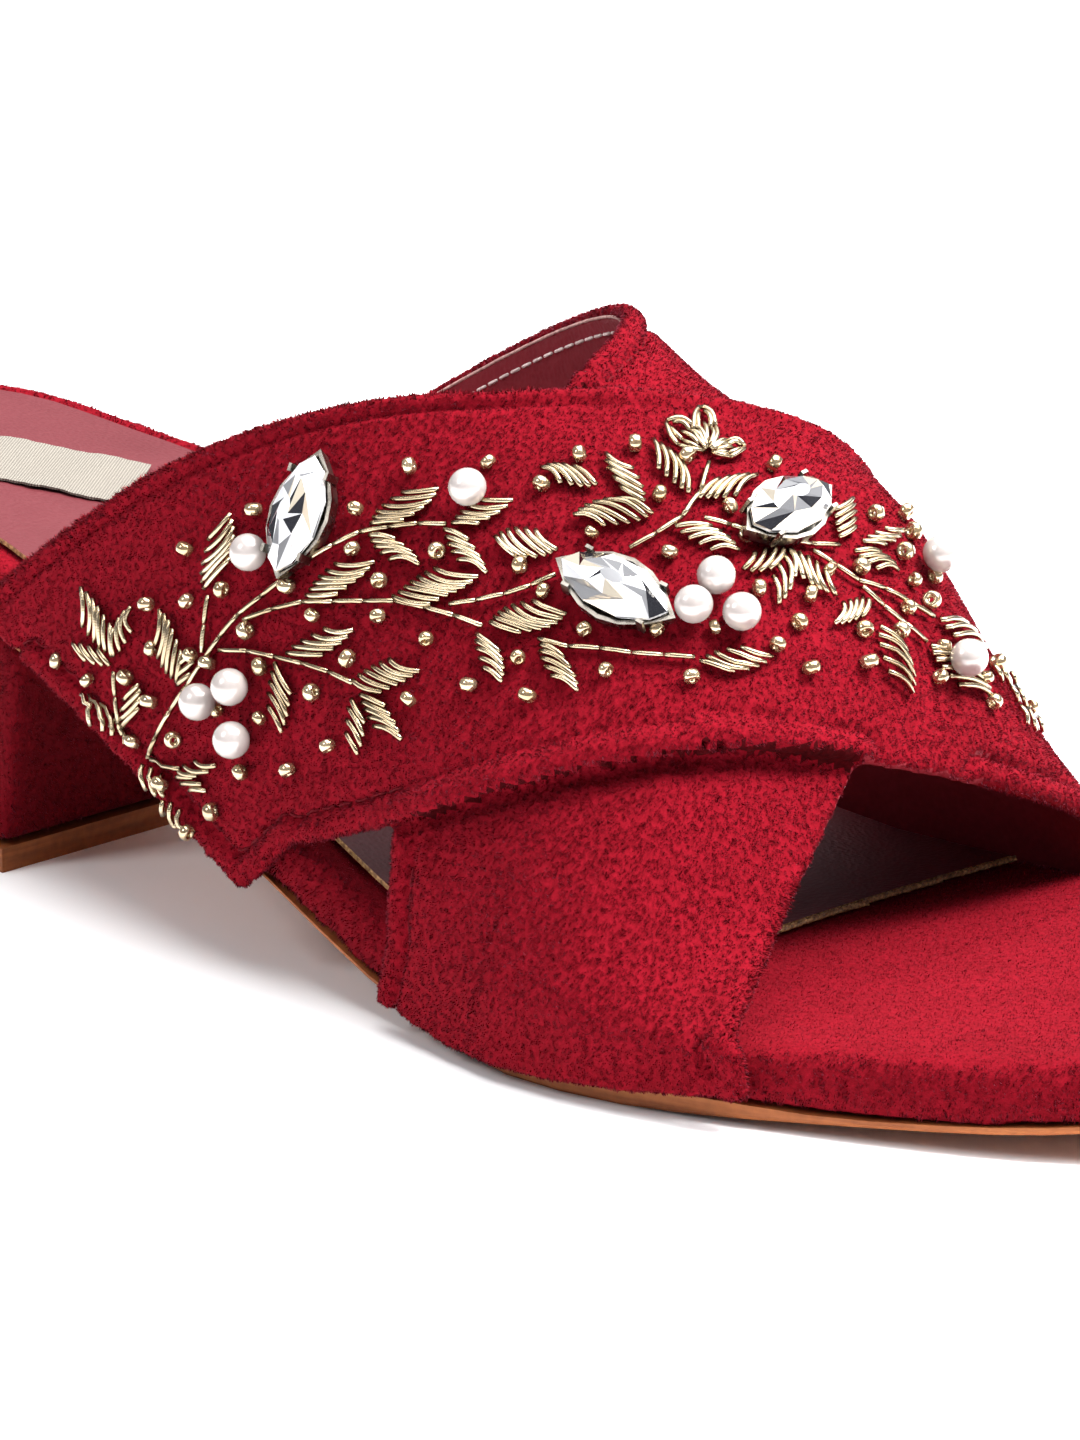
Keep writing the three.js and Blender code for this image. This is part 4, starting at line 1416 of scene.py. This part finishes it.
SEEDS = [
    (412, 469), (490, 466), (359, 511), (258, 511), (190, 549), (152, 604), (192, 601), (227, 590),
    (291, 587), (356, 551), (383, 583), (440, 554), (522, 569), (251, 631), (317, 617), (382, 618),
    (59, 665), (93, 679), (131, 677), (157, 648), (155, 701), (196, 655), (213, 663), (179, 739),
    (138, 742), (265, 667), (317, 693), (352, 660), (265, 718), (333, 746), (246, 772), (293, 770),
    (217, 811), (165, 785), (193, 830), (430, 641), (472, 687), (413, 701), (521, 660), (530, 698),
    (222, 710), (580, 459), (659, 499), (686, 461), (635, 449), (593, 536), (669, 556), (728, 511),
    (745, 538), (771, 469), (871, 518), (900, 516), (908, 536), (900, 555), (857, 571), (825, 575),
    (909, 584), (929, 580), (953, 586), (807, 598), (796, 626), (860, 633), (714, 631), (657, 633),
    (586, 632), (757, 592), (545, 595), (926, 604), (903, 610), (543, 488), (896, 634), (938, 648),
    (864, 663), (934, 679), (979, 680), (988, 704), (1025, 711), (807, 670), (775, 647), (691, 680),
    (607, 673), (991, 665), (994, 655),
]
print("stems:", len(STEMS), "leaves:", len(LEAVES), "seed beads:", len(SEEDS))

# %% Purl wire
PURL_RADIUS = 0.32 * MM
STEM_RADIUS = 0.3 * MM
PURL_LIFT = 0.75 * MM
PURL_ARCH = 0.4 * MM
STEM_ARCH = 0.1 * MM
STEM_LENGTH = 30.0
STEM_GAP = 1.5
WIRE_STEP = 6.0
LEAST_TURN = 20.0
LEAF_SHARE, LEAF_MORE = 0.46, 4
FEWEST, MOST = 3, 8
WIRE_SHORT, WIRE_SWELL, WIRE_UNEVEN = 0.86, 0.22, 0.1
BOW_LEAST, BOW_MORE, BOW_UNEVEN = 0.05, 0.05, 0.04


def on_strap(pixel, lift):
    """The point of the velvet behind a photo pixel, lifted off it, or None where the ray misses."""
    across = (pixel[0] - PHOTO_SIZE[0] / 2) / FOCAL_PIXELS
    down = (pixel[1] - PHOTO_SIZE[1] / 2) / FOCAL_PIXELS
    ray = (right * across - up * down - back).normalized()
    spot, normal, _, _ = upper_tree.ray_cast(EYE, ray)
    return None if spot is None else np.array(spot + normal * lift)


def purl(start, end, radius, bow=0.0, rise=PURL_ARCH, steps=7):
    """One length of wire between two pixels, arched a little off the velvet and bowed aside."""
    start, end = np.array(start, float), np.array(end, float)
    aside = np.array([-(end - start)[1], (end - start)[0]])
    line = []
    for i in range(steps):
        t = i / (steps - 1)
        arch = math.sin(math.pi * t)
        spot = on_strap(start + (end - start) * t + aside * bow * arch, PURL_LIFT + rise * arch)
        if spot is not None:
            line.append(spot)
    return tube_arrays(line, radius, 8) if len(line) > 2 else None


def stem_wires(route):
    """A chain of short straight lengths along a route of pixels."""
    route = np.array(route, float)
    whole = lengths_along(route)[-1]
    at = line_at(route, np.linspace(0, whole, max(1, round(whole / STEM_LENGTH)) + 1))
    for a, b in zip(at, at[1:]):
        inset = (b - a) / np.linalg.norm(b - a) * STEM_GAP / 2
        yield purl(a + inset, b - inset, STEM_RADIUS, rise=STEM_ARCH, steps=5)


def leaf_wires(x0, y0, x1, y1, turn):
    """A slanting row of lengths, side by side, from the base of a leaf to its tip."""
    base, tip = np.array([x0, y0], float), np.array([x1, y1], float)
    size = np.linalg.norm(tip - base)
    angle = math.radians(math.copysign(max(abs(turn), LEAST_TURN), turn))
    x, y = (tip - base) / size
    cos, sin = math.cos(angle), math.sin(angle)
    way = np.array([x * cos - y * sin, x * sin + y * cos])
    length = size * LEAF_SHARE + LEAF_MORE
    row = tip - base - way * length
    count = int(np.clip(round(size * abs(math.sin(angle)) / WIRE_STEP) + 1, FEWEST, MOST))
    for i in range(count):
        share = i / (count - 1)
        centre = base + way * length / 2 + row * share
        swell = WIRE_SWELL * math.sin(math.pi * share)
        reach = length / 2 * (WIRE_SHORT + swell + WIRE_UNEVEN * math.sin(7 * i + x0))
        bow = math.copysign(BOW_LEAST + BOW_MORE * share, turn) + BOW_UNEVEN * math.sin(5 * i + y0)
        yield purl(centre - way * reach, centre + way * reach, PURL_RADIUS, bow)


def petal_wires(x0, y0, x1, y1):
    """Two loops of short lengths, one inside the other, and a middle wire."""
    base, tip = np.array([x0, y0], float), np.array([x1, y1], float)
    aside = np.array([-(tip - base)[1], (tip - base)[0]])
    for bow, ends in ((0.24, (0.04, 0.98)), (0.12, (0.12, 0.86))):
        for side in (-1, 1):
            turns = [
                base + (tip - base) * t + aside * side * bow * math.sin(math.pi * t) ** 0.8
                for t in np.linspace(*ends, 3)
            ]
            for a, b in zip(turns, turns[1:]):
                yield purl(a, b, STEM_RADIUS, 0.12 * side)
    yield purl(base + (tip - base) * 0.2, base + (tip - base) * 0.62, STEM_RADIUS)


wires = [wire for route in STEMS for wire in stem_wires(route)]
wires += [wire for leaf in LEAVES for wire in leaf_wires(*leaf)]
wires += [wire for petal in PETALS for wire in petal_wires(*petal)]
wires = [wire for wire in wires if wire is not None]
join_tubes("purl_embroidery", wires, purl_gold, "setting")

# %% [markdown]
# ## Seed beads
# A seed bead is a short glass tube with round ends. One is made from a torus, squeezed and pulled long, and
# the rest are copies of its points, each lying on its side in the velvet.

# %% Seed beads
SEED_SIZE = 2.05 * MM
SEED_LIFT = 0.9 * MM
SEED_RING, SEED_GIRTH, SEED_LONG = 0.31, 0.19, 1.7
SEED_TILTS = (-0.3, 0.5)
SEED_SIZES = (0.85, 1.1)

bpy.ops.object.select_all(action="DESELECT")
bpy.ops.mesh.primitive_torus_add(
    major_segments=14, minor_segments=8,
    major_radius=SEED_SIZE * SEED_RING, minor_radius=SEED_SIZE * SEED_GIRTH,
)
seed = bpy.context.object
bpy.ops.object.mode_set(mode="EDIT")
bpy.ops.mesh.select_all(action="SELECT")
bpy.ops.transform.resize(value=(1, 1, SEED_LONG))
bpy.ops.object.mode_set(mode="OBJECT")
bead_points = points_of(seed.data)
bead_faces = np.array([list(f.vertices) for f in seed.data.polygons])
bpy.data.objects.remove(seed)

chance = np.random.default_rng(31)
all_points, all_faces = [], []
for pixel in SEEDS:
    spot = on_strap(pixel, SEED_LIFT)
    if spot is None:
        continue
    out = unit(spot - on_strap(pixel, 0))
    lie = unit(np.cross(out, chance.normal(0, 1, 3)))
    axis = unit(lie + out * chance.uniform(*SEED_TILTS))
    side = unit(np.cross(axis, out))
    all_faces.append(bead_faces + len(all_points) * len(bead_points))
    lying = bead_points @ np.array([side, np.cross(axis, side), axis])
    all_points.append(spot + lying * chance.uniform(*SEED_SIZES))
mesh = bpy.data.meshes.new("seed_beads")
mesh.from_pydata(np.vstack(all_points), [], np.vstack(all_faces).tolist())
mesh.shade_smooth()
seat(give(link_piece("seed_beads", mesh), seed_gold), "setting")
print("seed beads set:", len(all_points))

# %% [markdown]
# ## Size
# The dressed shoe has to stay close to its solids, so this cell prints how far its box has grown past theirs.

# %% Size
VISUAL_BOX = [list(corner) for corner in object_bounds()]
print("grown by mm:", [round((v - c) / MM, 2) for vs, cs in zip(VISUAL_BOX, CAD_BOX) for v, c in zip(vs, cs)])
